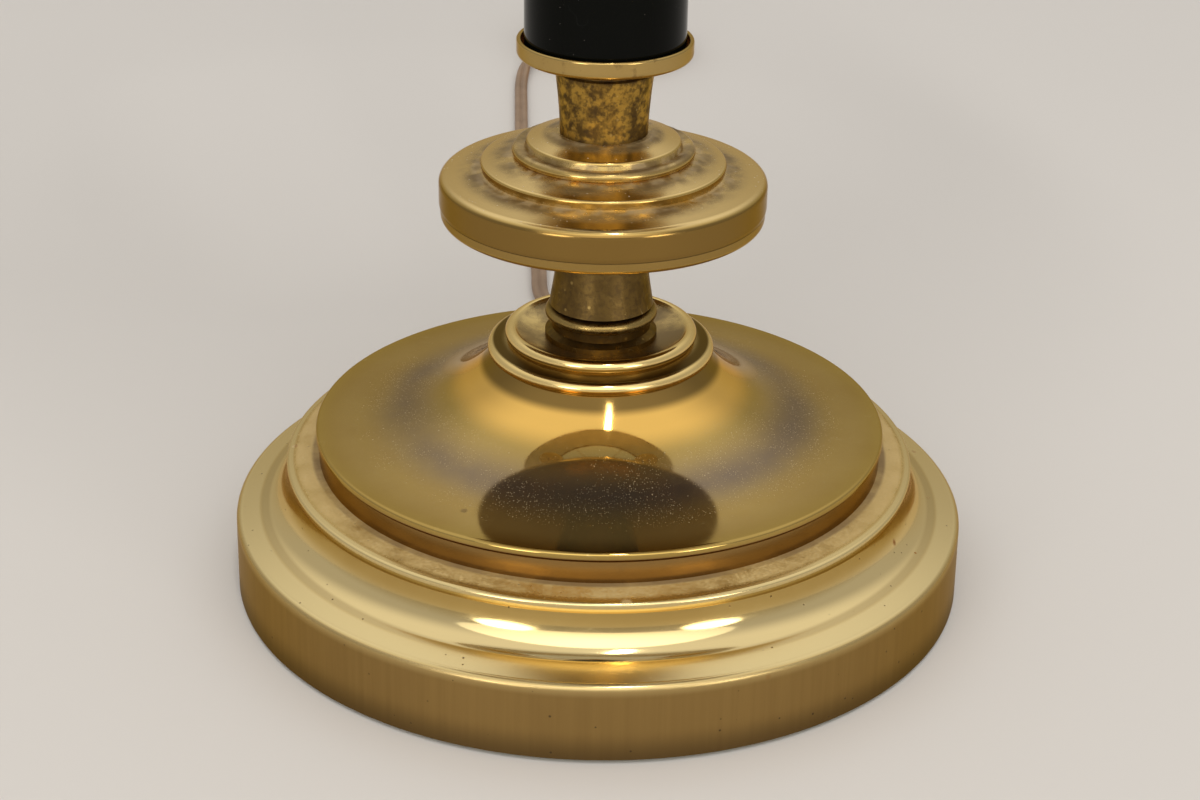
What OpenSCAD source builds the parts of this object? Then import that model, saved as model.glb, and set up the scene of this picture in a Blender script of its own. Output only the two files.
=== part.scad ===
// Two-light bouillotte table lamp: a turned brass foot and stem clamped on one threaded
// tube, a lacquered column, two candle arms on a hub with a rotary switch, and a metal
// shade that slides and turns on a rod. Its lead lies coiled behind the foot.
// Millimetres, +Z up. The origin is on the table, on the column's axis. Front is -Y.

/* [Foot] */
// Diameter of the plinth at its top edge
base_d = 178; // [160:1:200]
// How far the plinth wall spreads at its foot, on the radius
base_flare = 0.3; // [0:0.1:1]
// Height of the plinth wall
base_wall_h = 18.5; // [16:0.5:26]
// Thickness of the spun brass
base_t = 1.6; // [1.2:0.1:2]
// Radius of the plinth's rounded top edge
edge_r = 0.8; // [0.4:0.1:1.5]
// Width of the flat rim round the plinth
rim_w = 6.5; // [4:0.5:9]
// Rise of the flat rim towards the cove
rim_rise = 1.2; // [0.4:0.2:3]
// Width of the cove
cove_w = 6.5; // [4:0.5:9]
// Height of the cove
cove_h = 9.3; // [6:0.1:14]
// Height of the shoulder above the cove
shoulder_h = 2.4; // [2:0.1:5]
// How far the shoulder stands out over the cove
shoulder_proud = 0.3; // [0:0.1:1.5]
// Rise of the ledge from the shoulder to the dome
ledge_rise = 0.6; // [0:0.1:2]
// Width of the flange that the iron weight presses on
flange_w = 10; // [6:1:20]
// Thickness of the felt
felt_t = 1; // [0.8:0.1:3]
// How far the felt stays in from the plinth's edge
felt_inset = 1.2; // [0.6:0.1:1.5]
// Thickness of the iron weight
weight_t = 11; // [6:0.5:12]

/* [Dome] */
// Diameter of the dome at its lip
dome_d = 138; // [120:1:142]
// Height of the dome's upright wall
dome_wall_h = 7.6; // [5:0.1:14]
// Rise of the dome from its lip to its cap
dome_rise = 17.5; // [10:0.5:30]
// Thickness of the dome's brass
dome_t = 1.4; // [1:0.1:2]
// Diameter of the cap's lower bead
cap_d = 54.4; // [44:0.2:64]
// Diameter of the cap's upper bead
cap_upper_d = 46.2; // [36:0.2:54]
// Height of the dished face above the dome
cap_dish_h = 4.5; // [3:0.1:8]

/* [Stem] */
// Height of the lower neck
lower_neck_h = 30.2; // [24:0.2:44]
// Diameter of the lower neck's bead
lower_bead_d = 26.8; // [24:0.2:34]
// Diameter of the lower neck at its top
lower_neck_d = 20.2; // [16:0.2:24]
// Diameter of the knop
knop_d = 76.6; // [66:0.2:90]
// Height of the knop's lower plate
plate_h = 2.9; // [2:0.1:5]
// Height of the knop's side wall above the seam
knop_wall_h = 7.7; // [5:0.1:14]
// Diameter of the knop's second tier
tier_2_d = 57.2; // [50:0.2:64]
// Diameter of the knop's third tier
tier_3_d = 42.6; // [38:0.2:48]
// Diameter of the knop's top tier
tier_4_d = 36; // [30:0.2:36.6]
// Height of the step up to the knop's second and third tiers
tier_h = 2.5; // [2:0.1:4]
// Diameter of the upper neck at its foot
upper_neck_d = 20.4; // [16:0.2:24]
// Diameter of the upper neck below its cove
upper_neck_top_d = 22.8; // [18:0.2:28]
// Height of the upper neck
upper_neck_h = 18; // [12:0.1:30]

/* [Column] */
// Diameter of the column
column_d = 37; // [30:0.5:40]
// Length of the column
column_l = 168; // [120:1:240]
// Thickness of the column's tube
column_t = 1.5; // [1:0.1:3]
// Gap between the column and the ferrule's wall, on the radius
ferrule_gap = 0.6; // [0.3:0.1:1.5]
// Thickness of the ferrules' brass
ferrule_t = 1.1; // [0.8:0.1:2]
// Depth of the ferrules' cup
ferrule_h = 3.2; // [2:0.1:8]
// Diameter of the threaded tube
pipe_d = 9.6; // [8:0.1:10]
// Bore of the threaded tube
pipe_bore = 6.4; // [5.6:0.1:7]

/* [Hub and arms] */
// Height of the neck under the hub
hub_neck_h = 17; // [10:0.5:30]
// Diameter of the hub
hub_d = 42; // [38:0.5:56]
// Height of the hub
hub_h = 28; // [27:0.5:40]
// Thickness of the hub's wall and floor
hub_t = 2; // [1.5:0.1:2.5]
// Height of the hub's cover
cover_h = 10; // [9:0.5:16]
// Height of the arms' bush over the hub's floor
arm_z = 13.6; // [12.5:0.1:14.5]
// Diameter of the arm tubes
arm_d = 9; // [7:0.5:10]
// Thickness of the arm tubes
arm_t = 1.4; // [1:0.1:1.6]
// Bend radius of the arm's shoulder
arm_shoulder_r = 22; // [18:0.5:30]
// Bend radius of the arm's rise
arm_rise_r = 31; // [26:0.5:40]
// Angle by which the arm dips
arm_dip = 40; // [25:1:50]

/* [Candles] */
// Diameter of the drip pans
pan_d = 54; // [44:1:64]
// Depth of the drip pans
pan_depth = 5; // [3:0.5:8]
// Diameter of the candle cups' lip
cup_d = 29; // [27.5:0.5:34]
// Height of the candle cups
cup_h = 17; // [12:0.5:24]
// Diameter of the candle sleeves
sleeve_d = 22; // [21:0.5:24]
// Length of the candle sleeves
sleeve_l = 65; // [55:1:75]
// Thickness of the candle sleeves
sleeve_t = 1.1; // [0.8:0.1:1.3]
// Diameter of the lamp caps (candelabra screw)
cap_screw_d = 12; // [12:0.1:12.2]
// Length of the sockets
socket_l = 28; // [26:0.5:34]
// Diameter of the bulbs
bulb_d = 32; // [26:0.5:35]
// Height of the bulb glass
bulb_h = 64; // [50:1:68]

/* [Shade] */
// Diameter of the shade's lower edge
shade_bottom_d = 336; // [300:2:360]
// Diameter of the shade's upper edge
shade_top_d = 236; // [220:2:250]
// Height of the shade between its bands
shade_h = 108; // [90:1:120]
// Thickness of the shade's sheet metal
shade_t = 0.8; // [0.6:0.1:1.5]
// Diameter of the rolled bands on the shade's edges
band_d = 3.2; // [2.4:0.1:5]
// Diameter of the rod that carries the shade
rod_d = 10; // [9:0.5:11]
// Length of the rod above the hub's cover
rod_l = 206; // [200:1:230]
// Height of the sliding collar over the hub's cover
collar_z = 158; // [150:1:162]
// Diameter of the sliding collar and of the spider's hub
collar_d = 19; // [17:0.5:24]
// Height of the sliding collar
collar_h = 12; // [10:0.5:16]
// Height of the spider's hub
spider_hub_h = 13; // [10:0.5:16]
// Diameter of the spider's four wires
spider_wire_d = 3.4; // [2.4:0.1:4]
// Diameter of the thumbscrew's head
thumb_d = 17; // [12:0.5:19]
// Diameter of the thumbscrew's thread
thumb_thread_d = 4; // [3:0.5:5]
// Height of the finial
finial_h = 36; // [26:1:50]

/* [Switch] */
// Diameter of the switch's knob
knob_d = 15; // [12:0.5:20]
// Length of the switch's knob
knob_l = 12; // [9:0.5:18]
// Diameter of the switch's shaft
switch_shaft_d = 4; // [3:0.5:5]

/* [Lead] */
// Width of the twin lead
lead_w = 5.1; // [4.6:0.1:5.4]
// Thickness of the twin lead
lead_t = 2.6; // [2.2:0.1:3]
// Height of the lead's way out of the plinth
exit_z = 7.5; // [7:0.1:8]
// Length of the tapered strain relief
relief_l = 22; // [20:1:24]
// Width of the plug
plug_w = 24; // [20:0.5:28]
// Thickness of the plug
plug_t = 11; // [9:0.5:14]
// Length of the plug's body
plug_l = 26; // [22:0.5:32]

/* [Hidden] */

// Facets of full turns, of small round parts and of profile arcs
fn_turn = 128;
fn_small = 48;
fn_arc = 8;

// Clearances: a seated piece round a tube, and a shaft that runs in its bore
seat_gap = 0.15;
run_gap = 0.05;
// Gap between faces that turn past each other
turn_gap = 0.1;

// Colours
brass = [0.78, 0.62, 0.3];
dark_brass = [0.5, 0.38, 0.18];
iron = [0.22, 0.22, 0.23];
steel = [0.68, 0.69, 0.7];
black = [0.03, 0.03, 0.03];
ivory = [0.93, 0.89, 0.76];
felt_green = [0.12, 0.22, 0.14];
tan_lead = [0.5, 0.38, 0.27];
glass_tint = [0.95, 0.95, 0.92, 0.4];

// Heights of the foot, from the table upwards
base_r = base_d / 2;
z_foot = felt_t;
z_rim = z_foot + base_wall_h;
z_cove = z_rim + rim_rise;
z_cove_top = z_cove + cove_h;
z_shoulder = z_cove_top + shoulder_h;
z_seat = z_shoulder + ledge_rise;
z_lip = z_seat + dome_wall_h;
z_dome_top = z_lip + dome_rise;
z_neck = z_dome_top + cap_dish_h;

// Radii of the foot, from the edge inwards
rim_in = base_r - rim_w;
cove_in = rim_in - cove_w;
shoulder_r = cove_in + shoulder_proud;
dome_r = dome_d / 2;
flange_in = dome_r - flange_w;
weight_r = (flange_in + cove_in - base_t) / 2;
cap_seat_r = cap_d / 2 - 1.2;

// Heights of the stem and the column
z_plate = z_neck + lower_neck_h;
z_seam = z_plate + plate_h;
z_tier_1 = z_seam + knop_wall_h;
tier_1_rise = 0.9;
tier_2_rise = 1.2;
tier_4_step = 1.5;
tier_4_rise = 1.5;
z_tier_2 = z_tier_1 + tier_1_rise + tier_h;
z_tier_3 = z_tier_2 + tier_2_rise + tier_h;
z_tier_4 = z_tier_3 + tier_4_step;
z_knop_top = z_tier_4 + tier_4_rise;
z_ferrule = z_knop_top + upper_neck_h;
z_column = z_ferrule + ferrule_t;
z_column_top = z_column + column_l;
z_hub_neck = z_column_top + ferrule_t;
z_hub = z_hub_neck + hub_neck_h;
z_cover = z_hub + hub_h;
z_rod = z_cover + cover_h;
z_rod_top = z_rod + rod_l;

// The threaded tube and what grips it
pipe_r = pipe_d / 2;
seat_r = pipe_r + seat_gap;
nut_h = 5;
nut_af = 15;
washer_t = 1.5;
washer_r = 16;
z_weight_top = z_seat - base_t;
z_weight = z_weight_top - weight_t;
z_base_nut = z_weight - washer_t - nut_h;
pipe_end = 1.4;
z_pipe = z_base_nut - pipe_end;
z_hub_nut = z_hub + hub_t;
z_pipe_top = z_hub_nut + nut_h + pipe_end;

// The column and its ferrules
column_r = column_d / 2;
ferrule_r = column_r + ferrule_gap + ferrule_t;
locator_h = 2.5;

// The hub, the arms and the candles
hub_r = hub_d / 2;
z_arm = z_hub + arm_z;
arm_r = arm_d / 2;
arm_boss_r = 6.5;
arm_boss_l = 4;
arm_nut_t = 2.5;
arm_nut_af = 13;
// A hexagon's corner, for a size measured over its flats
function corner_r(across_flats) = across_flats / 2 / cos(30);
arm_nut_x = sqrt(pow(hub_r - hub_t, 2) - pow(corner_r(arm_nut_af), 2));
arm_in_x = arm_nut_x - arm_nut_t - 1;
arm_out_x = hub_r + arm_boss_l;
dip_x = arm_out_x + arm_shoulder_r * sin(arm_dip);
dip_z = z_arm - arm_shoulder_r * (1 - cos(arm_dip));
candle_x = dip_x + arm_rise_r * (1 + sin(arm_dip));
z_pan = dip_z + arm_rise_r * cos(arm_dip);
pan_t = 1.2;
z_cup = z_pan + pan_t;
cup_floor = 8.5;
z_sleeve = z_cup + cup_floor;
z_sleeve_top = z_sleeve + sleeve_l;
arm_tip = 6;
arm_swell = 0.12;
socket_r = 7.3;
shell_t = 0.4;
shell_r = cap_screw_d / 2 + 0.1 + shell_t;
socket_inset = 1;
z_socket_top = z_sleeve_top - socket_inset;
z_socket = z_socket_top - socket_l;
socket_floor = 5;
cap_l = 17;
cap_tip_h = 3;
z_cap_screw = z_socket_top - cap_l + 1;
z_glass = z_cap_screw + cap_l;
glass_t = 0.8;

// The shade and what carries it
rod_r = rod_d / 2;
collar_r = collar_d / 2;
z_collar = z_rod + collar_z;
z_spider = z_collar + collar_h + turn_gap;
z_wires = z_spider + spider_hub_h / 2;
band_r = band_d / 2;
shade_slope = (shade_bottom_d - shade_top_d) / 2 / shade_h;
wire_drop = 6;
z_shade_top = z_wires + wire_drop;
z_shade = z_shade_top - shade_h;
wire_r = spider_wire_d / 2;
spoke_thin = 0.2;
solder_bite = 0.2;
spider_ring_r = shade_top_d / 2 + wire_drop * shade_slope - shade_t
    - (wire_r - solder_bite) / cos(atan(shade_slope));
thumb_boss_r = 4;
thumb_boss_l = 4;
thumb_head_gap = 2;
thumb_head_t = 4;
rod_stud_r = 3;
rod_stud_l = 10;
rod_shank_r = 4;
rod_shank_l = 8;

// The switch in the front of the hub
bush_r = 4.5;
bush_out = 5;
switch_nut_t = 2.5;
switch_can_r = 7;
switch_can_l = 8;
switch_can_y = -sqrt(pow(hub_r - hub_t, 2) - pow(switch_can_r, 2));
bush_y = -hub_r - bush_out;
knob_y = bush_y - 0.4;

// The lead's way out, and the coil it is put away in
exit_r = 4.4;
exit_flange_r = 5.6;
exit_flange_t = 1.2;
relief_tip = base_r + base_flare + exit_flange_t + relief_l;
inner_lead_r = lead_w / 2 - 0.05;
lead_bend_r = z_pipe + 1 - exit_z;
wire_d = 2.4;
coil_centre = [0, 444];
coil_outer_r = 33.3;
coil_inner_r = 19;
coil_layers = 2;
coil_h = coil_layers * (lead_w + 0.1);
tie_t = 0.8;
tie_w = 7;
coil_round = 1.8;
plug_at = [-13.9, 444.5];
z_plug = tie_t + coil_h;

// The lead's middle line from the strain relief to the coil, flat on the table
cord_route = [
    [0, 112.5, 7.5], [0, 119, 7.2], [-1, 126, 6.4], [-3.8, 134, 4.9], [-8, 143, 3.2],
    [-12.8, 152, 2], [-17, 161, 1.4], [-19.6, 171, 1.3], [-20.4, 182, 1.3], [-21, 194, 1.3],
    [-21.7, 206, 1.3], [-22.6, 218, 1.3], [-23.7, 230, 1.3], [-24.9, 242, 1.3],
    [-26.1, 254, 1.3], [-27.3, 266, 1.3], [-28.5, 278, 1.3], [-29.5, 290, 1.3],
    [-30.4, 302, 1.3], [-31.2, 314, 1.3], [-31.8, 326, 1.3], [-32.3, 338, 1.3],
    [-32.8, 350, 1.3], [-33.3, 362, 1.3], [-33.8, 374, 1.3], [-34.3, 386, 1.3],
    [-34.5, 398, 1.4], [-34.1, 410, 1.9], [-33.2, 422, 2.7], [-32.3, 434, 3.4]
];

// The lead's middle line from the top of the coil into the plug
tail_route = [
    [19.1, 418.4, 11.2], [14.3, 415.9, 12.3], [7.1, 414.6, 12.5], [-0.1, 415.9, 12.5],
    [-6.4, 419.5, 12.5], [-11.1, 425.1, 12.7], [-13.5, 431.5, 13.8], [-13.9, 438, 15.6],
    [-13.9, 444.5, 16.7]
];

// Points of an arc in a profile, from angle a0 to a1
function arc_pts(cr, cz, r, a0, a1, n = fn_arc) =
    [for (i = [0 : n]) let (a = a0 + (a1 - a0) * i / n) [cr + r * cos(a), cz + r * sin(a)]];

// Points of the plinth's cove, moved inwards by a wall's thickness
function cove_pts(wall, n = fn_arc) =
    [for (i = [0 : n]) let (a = 90 * i / n)
        [rim_in - (cove_w + wall) * sin(a), z_cove_top - (cove_h + wall) * cos(a)]];

// Points of the dome's flare from the lip to the cap seat, lowered by a wall's thickness
function flare_pts(wall, n = 2 * fn_arc) =
    let (out_r = dome_r - edge_r)
    [for (i = [0 : n]) let (t = i / n)
        [out_r - (out_r - cap_seat_r) * t, z_lip - wall + dome_rise * pow(t, 3)]];

function reversed(list) = [for (i = [len(list) - 1 : -1 : 0]) list[i]];

// A solid of revolution about the lamp's axis
module turned(points, fn = fn_turn) {
    rotate_extrude($fn = fn) polygon(points);
}

// A tube or ring that stands at a height
module ring(z, h, r_out, r_in, fn = fn_turn) {
    translate([0, 0, z]) difference() {
        cylinder(h = h, r = r_out, $fn = fn);
        translate([0, 0, -1]) cylinder(h = h + 2, r = r_in, $fn = fn_small);
    }
}

// A hexagon nut with a plain bore
module hex_nut(z, h, across_flats, bore_r) {
    translate([0, 0, z]) difference() {
        cylinder(h = h, r = corner_r(across_flats), $fn = 6);
        translate([0, 0, -1]) cylinder(h = h + 2, r = bore_r, $fn = fn_small);
    }
}

// A rod that runs towards the front (-Y) from y0 to the smaller y1
module rod_y(y0, y1, r, fn = fn_small) {
    translate([0, y0, 0]) rotate([90, 0, 0]) cylinder(h = y0 - y1, r = r, $fn = fn);
}

// Mirror image of the right-hand side for the left one
module side(sign) {
    if (sign > 0) children();
    else mirror([1, 0, 0]) children();
}

// ---- Foot ----

module felt_pad() {
    color(felt_green) cylinder(h = felt_t, r = base_r - felt_inset, $fn = fn_turn);
}

module base_ring() {
    lip = shoulder_h / 3;
    color(brass) difference() {
        turned(concat(
            [[base_r + base_flare, z_foot]],
            arc_pts(base_r - edge_r, z_rim - edge_r, edge_r, 0, 90),
            cove_pts(0),
            [[shoulder_r, z_cove_top + lip]],
            arc_pts(shoulder_r - lip, z_shoulder - lip, lip, 0, 90),
            [[dome_r + 1, z_seat], [flange_in, z_seat], [flange_in, z_seat - base_t]],
            [[cove_in - base_t, z_seat - base_t]],
            reversed(cove_pts(base_t)),
            [[base_r - base_t - edge_r, z_rim - base_t]],
            [[base_r - base_t, z_rim - base_t - edge_r]],
            [[base_r + base_flare - base_t, z_foot]]
        ));
        translate([0, 0, exit_z]) rod_y(base_r + 2, base_r - 2 * base_t - 2, exit_r);
    }
}

module base_weight() {
    color(iron) ring(z_weight, weight_t, weight_r, seat_r);
}

module base_washer() {
    color(steel) ring(z_weight - washer_t, washer_t, washer_r, seat_r);
}

module base_nut() {
    color(steel) hex_nut(z_base_nut, nut_h, nut_af, pipe_r);
}

module cord_bushing() {
    in_face = base_r - base_t - 0.3;
    out_face = base_r + base_flare;
    shoulder = out_face + exit_flange_t;
    color(black) translate([0, 0, exit_z]) rotate([-90, 0, 0]) difference() {
        turned([
            [0, in_face - exit_flange_t], [exit_flange_r, in_face - exit_flange_t],
            [exit_flange_r, in_face], [exit_r - 0.1, in_face], [exit_r - 0.1, out_face],
            [exit_flange_r, out_face], [exit_flange_r, shoulder - 0.4],
            [exit_flange_r - 0.6, shoulder], [exit_r, shoulder], [exit_r - 1, relief_tip],
            [0, relief_tip]
        ], fn_small);
        translate([0, 0, in_face - 3]) cylinder(h = relief_tip, r = lead_w / 2, $fn = fn_small);
    }
}

module base_dome() {
    lip = edge_r;
    foot_r = dome_r - 0.6;
    color(brass) turned(concat(
        [[foot_r, z_seat], [foot_r, z_lip - 3 * lip], [dome_r, z_lip - 2 * lip]],
        arc_pts(dome_r - lip, z_lip - lip, lip, 0, 90, 5),
        flare_pts(0),
        [[seat_r, z_dome_top], [seat_r, z_dome_top - dome_t]],
        reversed(flare_pts(dome_t)),
        [[foot_r - dome_t, z_lip - dome_t - lip], [foot_r - dome_t, z_seat]]
    ));
}

module dome_cap() {
    lower_bead = 1.6;
    upper_bead = 1.8;
    lower_c = cap_d / 2 - lower_bead;
    upper_c = cap_upper_d / 2 - upper_bead;
    z_lower = z_dome_top + lower_bead;
    z_upper = z_dome_top + cap_dish_h + 0.6;
    dish_r = lower_bead_d / 2 + 0.6;
    color(brass) turned(concat(
        [[seat_r, z_dome_top], [cap_seat_r - 0.6, z_dome_top]],
        arc_pts(lower_c, z_lower, lower_bead, -60, 90),
        arc_pts(upper_c, z_upper, upper_bead, -55, 120),
        [for (i = [1 : fn_arc]) let (t = i / fn_arc, r0 = upper_c - upper_bead / 2)
            [r0 - (r0 - dish_r) * t, z_neck + (upper_bead + 0.3) * pow(1 - t, 2)]],
        [[seat_r, z_neck]]
    ));
}

// ---- Stem ----

module lower_neck() {
    bead_r = lower_bead_d / 2;
    bead = 1.7;
    z_bead = z_neck + 6.2;
    foot_r = bead_r - 1.6;
    waist_r = bead_r - 1;
    top_r = lower_neck_d / 2;
    color(brass) turned(concat(
        [[seat_r, z_neck], [bead_r, z_neck], [bead_r, z_neck + 1.4], [foot_r, z_neck + 2.4]],
        [[foot_r, z_bead - bead]],
        arc_pts(bead_r - bead, z_bead, bead, -70, 80),
        [[waist_r - 0.8, z_bead + bead + 0.1]],
        [for (i = [0 : fn_arc]) let (t = i / fn_arc)
            [waist_r - (waist_r - top_r) * sin(90 * t),
             z_bead + bead + 0.5 + (z_plate - z_bead - bead - 0.5) * t]],
        [[seat_r, z_plate]]
    ));
}

module knop_plate() {
    plate_r = knop_d / 2 - 0.3;
    round_r = plate_h / 2;
    color(brass) turned(concat(
        [[seat_r, z_plate], [plate_r - 3 * round_r, z_plate]],
        arc_pts(plate_r - round_r, z_plate + round_r, round_r, -70, 0),
        [[plate_r, z_seam], [seat_r, z_seam]]
    ));
}

module knop_shell() {
    r_1 = knop_d / 2;
    r_2 = tier_2_d / 2;
    r_3 = tier_3_d / 2;
    r_4 = tier_4_d / 2;
    foot = 0.3;
    edge_1 = 1.2;
    edge_2 = 0.7;
    edge_4 = 0.8;
    bead = tier_h / 2;
    wall = 1.6;
    color(brass) turned(concat(
        [[r_1 - 0.2, z_seam], [r_1, z_seam + 1]],
        arc_pts(r_1 - edge_1, z_tier_1 - edge_1, edge_1, 0, 90),
        [[r_2 + foot, z_tier_1 + tier_1_rise], [r_2 - foot, z_tier_1 + tier_1_rise + foot]],
        arc_pts(r_2 - edge_2, z_tier_2 - edge_2, edge_2, 0, 90, 5),
        [[r_3 + foot, z_tier_2 + tier_2_rise]],
        arc_pts(r_3 - bead, z_tier_3 - bead, bead, -60, 90),
        [[r_4 + foot, z_tier_3 - foot]],
        arc_pts(r_4 - edge_4, z_tier_4 - edge_4, edge_4, 0, 90, 5),
        [[upper_neck_d / 2 + 1, z_knop_top], [seat_r, z_knop_top]],
        [[seat_r, z_tier_3 - wall], [r_3 - 3 * wall, z_tier_3 - wall]],
        [[r_3 - 3 * wall, z_tier_2 - wall], [r_2 - 2 * wall, z_tier_2 - wall]],
        [[r_2 - 2 * wall, z_tier_1 - wall], [r_1 - wall, z_tier_1 - wall - edge_1]],
        [[r_1 - wall, z_seam]]
    ));
}

module upper_neck() {
    foot_r = upper_neck_d / 2;
    top_r = upper_neck_top_d / 2;
    flare = 1.6;
    z_flare = z_ferrule - 3.3;
    color(dark_brass) turned(concat(
        [[seat_r, z_knop_top], [foot_r, z_knop_top]],
        [for (i = [1 : fn_arc]) let (t = i / fn_arc)
            [foot_r + (top_r - foot_r) * pow(t, 1.6), z_knop_top + (z_flare - z_knop_top) * t]],
        [for (i = [0 : fn_arc]) let (a = 90 * i / fn_arc)
            [top_r - 0.5 + flare * (1 - cos(a)), z_flare + 0.5 + (z_ferrule - z_flare - 0.5) * sin(a)]],
        [[seat_r, z_ferrule]]
    ));
}

// ---- Column ----

// A ferrule cup with its mouth upwards and its floor at z = 0
module ferrule_cup() {
    round_r = 1.4;
    color(brass) turned(concat(
        [[seat_r, 0], [ferrule_r - 2.2 * round_r, 0]],
        arc_pts(ferrule_r - round_r, round_r, round_r, -75, 0),
        arc_pts(ferrule_r - ferrule_t / 2, ferrule_t + ferrule_h - ferrule_t / 2, ferrule_t / 2, 0, 180),
        [[ferrule_r - ferrule_t, ferrule_t], [column_r - column_t - seat_gap, ferrule_t]],
        [[column_r - column_t - seat_gap, ferrule_t + locator_h]],
        [[column_r - column_t - 2, ferrule_t + locator_h], [column_r - column_t - 2, ferrule_t]],
        [[seat_r, ferrule_t]]
    ));
}

module lower_ferrule() {
    translate([0, 0, z_ferrule]) ferrule_cup();
}

module column_tube() {
    color(black) ring(z_column, column_l, column_r, column_r - column_t);
}

module upper_ferrule() {
    translate([0, 0, z_hub_neck]) mirror([0, 0, 1]) ferrule_cup();
}

module hub_neck() {
    foot_r = ferrule_r - 4;
    waist_r = foot_r - 5;
    top_r = hub_r - 5;
    bead = 2;
    z_waist = z_hub_neck + bead;
    rise = hub_neck_h - 2 * bead;
    color(brass) turned(concat(
        [[seat_r, z_hub_neck]],
        arc_pts(foot_r - bead / 2, z_hub_neck + bead / 2, bead / 2, -90, 90),
        [for (i = [0 : 2 * fn_arc]) let (t = i / 2 / fn_arc)
            [waist_r + (top_r - waist_r) * pow(t, 3) + 2 * pow(1 - t, 4), z_waist + rise * t]],
        arc_pts(top_r, z_hub - bead / 2, bead / 2, -90, 90),
        [[seat_r, z_hub]]
    ));
}

module stack_pipe() {
    color(steel) ring(z_pipe, z_pipe_top - z_pipe, pipe_r, pipe_bore / 2, fn_small);
}

// ---- Hub ----

module hub_body() {
    bead = 1.2;
    color(brass) difference() {
        turned(concat(
            [[seat_r, z_hub]],
            arc_pts(hub_r - bead, z_hub + bead, bead, -90, 0),
            arc_pts(hub_r - bead / 2, z_cover - bead / 2, bead / 2, 0, 90),
            [[hub_r - hub_t, z_cover], [hub_r - hub_t, z_hub + hub_t], [seat_r, z_hub + hub_t]]
        ));
        translate([0, 0, z_arm]) rotate([0, 90, 0])
            translate([0, 0, -hub_r - 5]) cylinder(h = 2 * hub_r + 10, r = arm_r + seat_gap, $fn = fn_small);
        translate([0, 0, z_arm]) rod_y(0, -hub_r - 5, bush_r + seat_gap);
    }
}

module hub_nut() {
    color(steel) hex_nut(z_hub_nut, nut_h, nut_af, pipe_r);
}

module hub_cover() {
    spigot_r = hub_r - hub_t - seat_gap;
    spigot_h = 2;
    boss_r = rod_r + 3;
    bead = 1.2;
    color(brass) turned(concat(
        [[rod_shank_r + seat_gap, z_cover - spigot_h], [spigot_r, z_cover - spigot_h]],
        [[spigot_r, z_cover]],
        arc_pts(hub_r + 0.4 - bead, z_cover + bead, bead, -90, 90),
        [for (i = [1 : fn_arc]) let (t = i / fn_arc)
            [hub_r - bead - (hub_r - bead - boss_r) * sin(90 * t),
             z_cover + 2 * bead + (cover_h - 2 * bead - 2) * (1 - cos(90 * t))]],
        arc_pts(boss_r - 0.8, z_rod - 1, 1, -80, 90),
        [[rod_shank_r + seat_gap, z_rod]]
    ));
}

// ---- Switch ----

module switch_body() {
    color(black) translate([0, 0, z_arm]) difference() {
        union() {
            rod_y(switch_can_y + switch_can_l, switch_can_y, switch_can_r);
            rod_y(switch_can_y + 1, bush_y, bush_r);
        }
        rod_y(switch_can_y + switch_can_l - 2, bush_y - 1, switch_shaft_d / 2 + run_gap);
    }
}

module switch_nut() {
    color(brass) translate([0, 0, z_arm]) difference() {
        rod_y(-hub_r + 0.4, -hub_r - switch_nut_t, bush_r + 2.2);
        rod_y(-hub_r + 2, -hub_r - switch_nut_t - 1, bush_r);
        translate([0, 0, -bush_r * 2]) cylinder(h = bush_r * 4, r = hub_r, $fn = fn_turn);
    }
}

module switch_shaft() {
    color(steel) translate([0, 0, z_arm])
        rod_y(switch_can_y + switch_can_l / 2, knob_y - knob_l * 0.7, switch_shaft_d / 2);
}

module switch_knob() {
    knob_r = knob_d / 2;
    groove_r = 0.55;
    grooves = 24;
    color(brass) translate([0, knob_y, z_arm]) rotate([90, 0, 0]) difference() {
        turned(concat(
            [[0, 0], [bush_r + 0.6, 0], [bush_r + 0.6, knob_l * 0.2]],
            [[knob_r - 1, knob_l * 0.25], [knob_r, knob_l * 0.3]],
            arc_pts(knob_r - 1.2, knob_l - 1.2, 1.2, 0, 90),
            [[knob_r * 0.5, knob_l], [0, knob_l + 0.8]]
        ), fn_small);
        for (i = [0 : grooves - 1]) rotate([0, 0, i * 360 / grooves])
            translate([knob_r + 0.1, 0, knob_l * 0.36]) cylinder(h = knob_l, r = groove_r, $fn = 16);
        translate([0, 0, -1]) cylinder(h = knob_l * 0.7 + 1, r = switch_shaft_d / 2, $fn = fn_small);
    }
}

// ---- Arms ----

// The arm's middle line with a round section of radius r: straight, dip, rise, straight.
// A slight swell closes each joint between two stretches
module arm_path(r, x_start, z_end) {
    translate([x_start, 0, z_arm]) rotate([0, 90, 0])
        cylinder(h = arm_out_x - x_start, r = r, $fn = fn_small);
    translate([arm_out_x, 0, z_arm - arm_shoulder_r]) rotate([90, 0, 0]) rotate([0, 0, 90 - arm_dip])
        rotate_extrude(angle = arm_dip, $fn = fn_turn)
            translate([arm_shoulder_r, 0]) circle(r = r, $fn = fn_small);
    translate([dip_x + arm_rise_r * sin(arm_dip), 0, z_pan]) rotate([90, 0, 0])
        rotate([0, 0, 270 - arm_dip])
            rotate_extrude(angle = 90 + arm_dip, $fn = fn_turn)
                translate([arm_rise_r, 0]) circle(r = r, $fn = fn_small);
    translate([candle_x, 0, z_pan]) cylinder(h = z_end - z_pan, r = r, $fn = fn_small);
    for (joint = [[arm_out_x, 0, z_arm], [dip_x, 0, dip_z], [candle_x, 0, z_pan]])
        translate(joint) sphere(r = r + arm_swell, $fn = fn_small);
}

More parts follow.
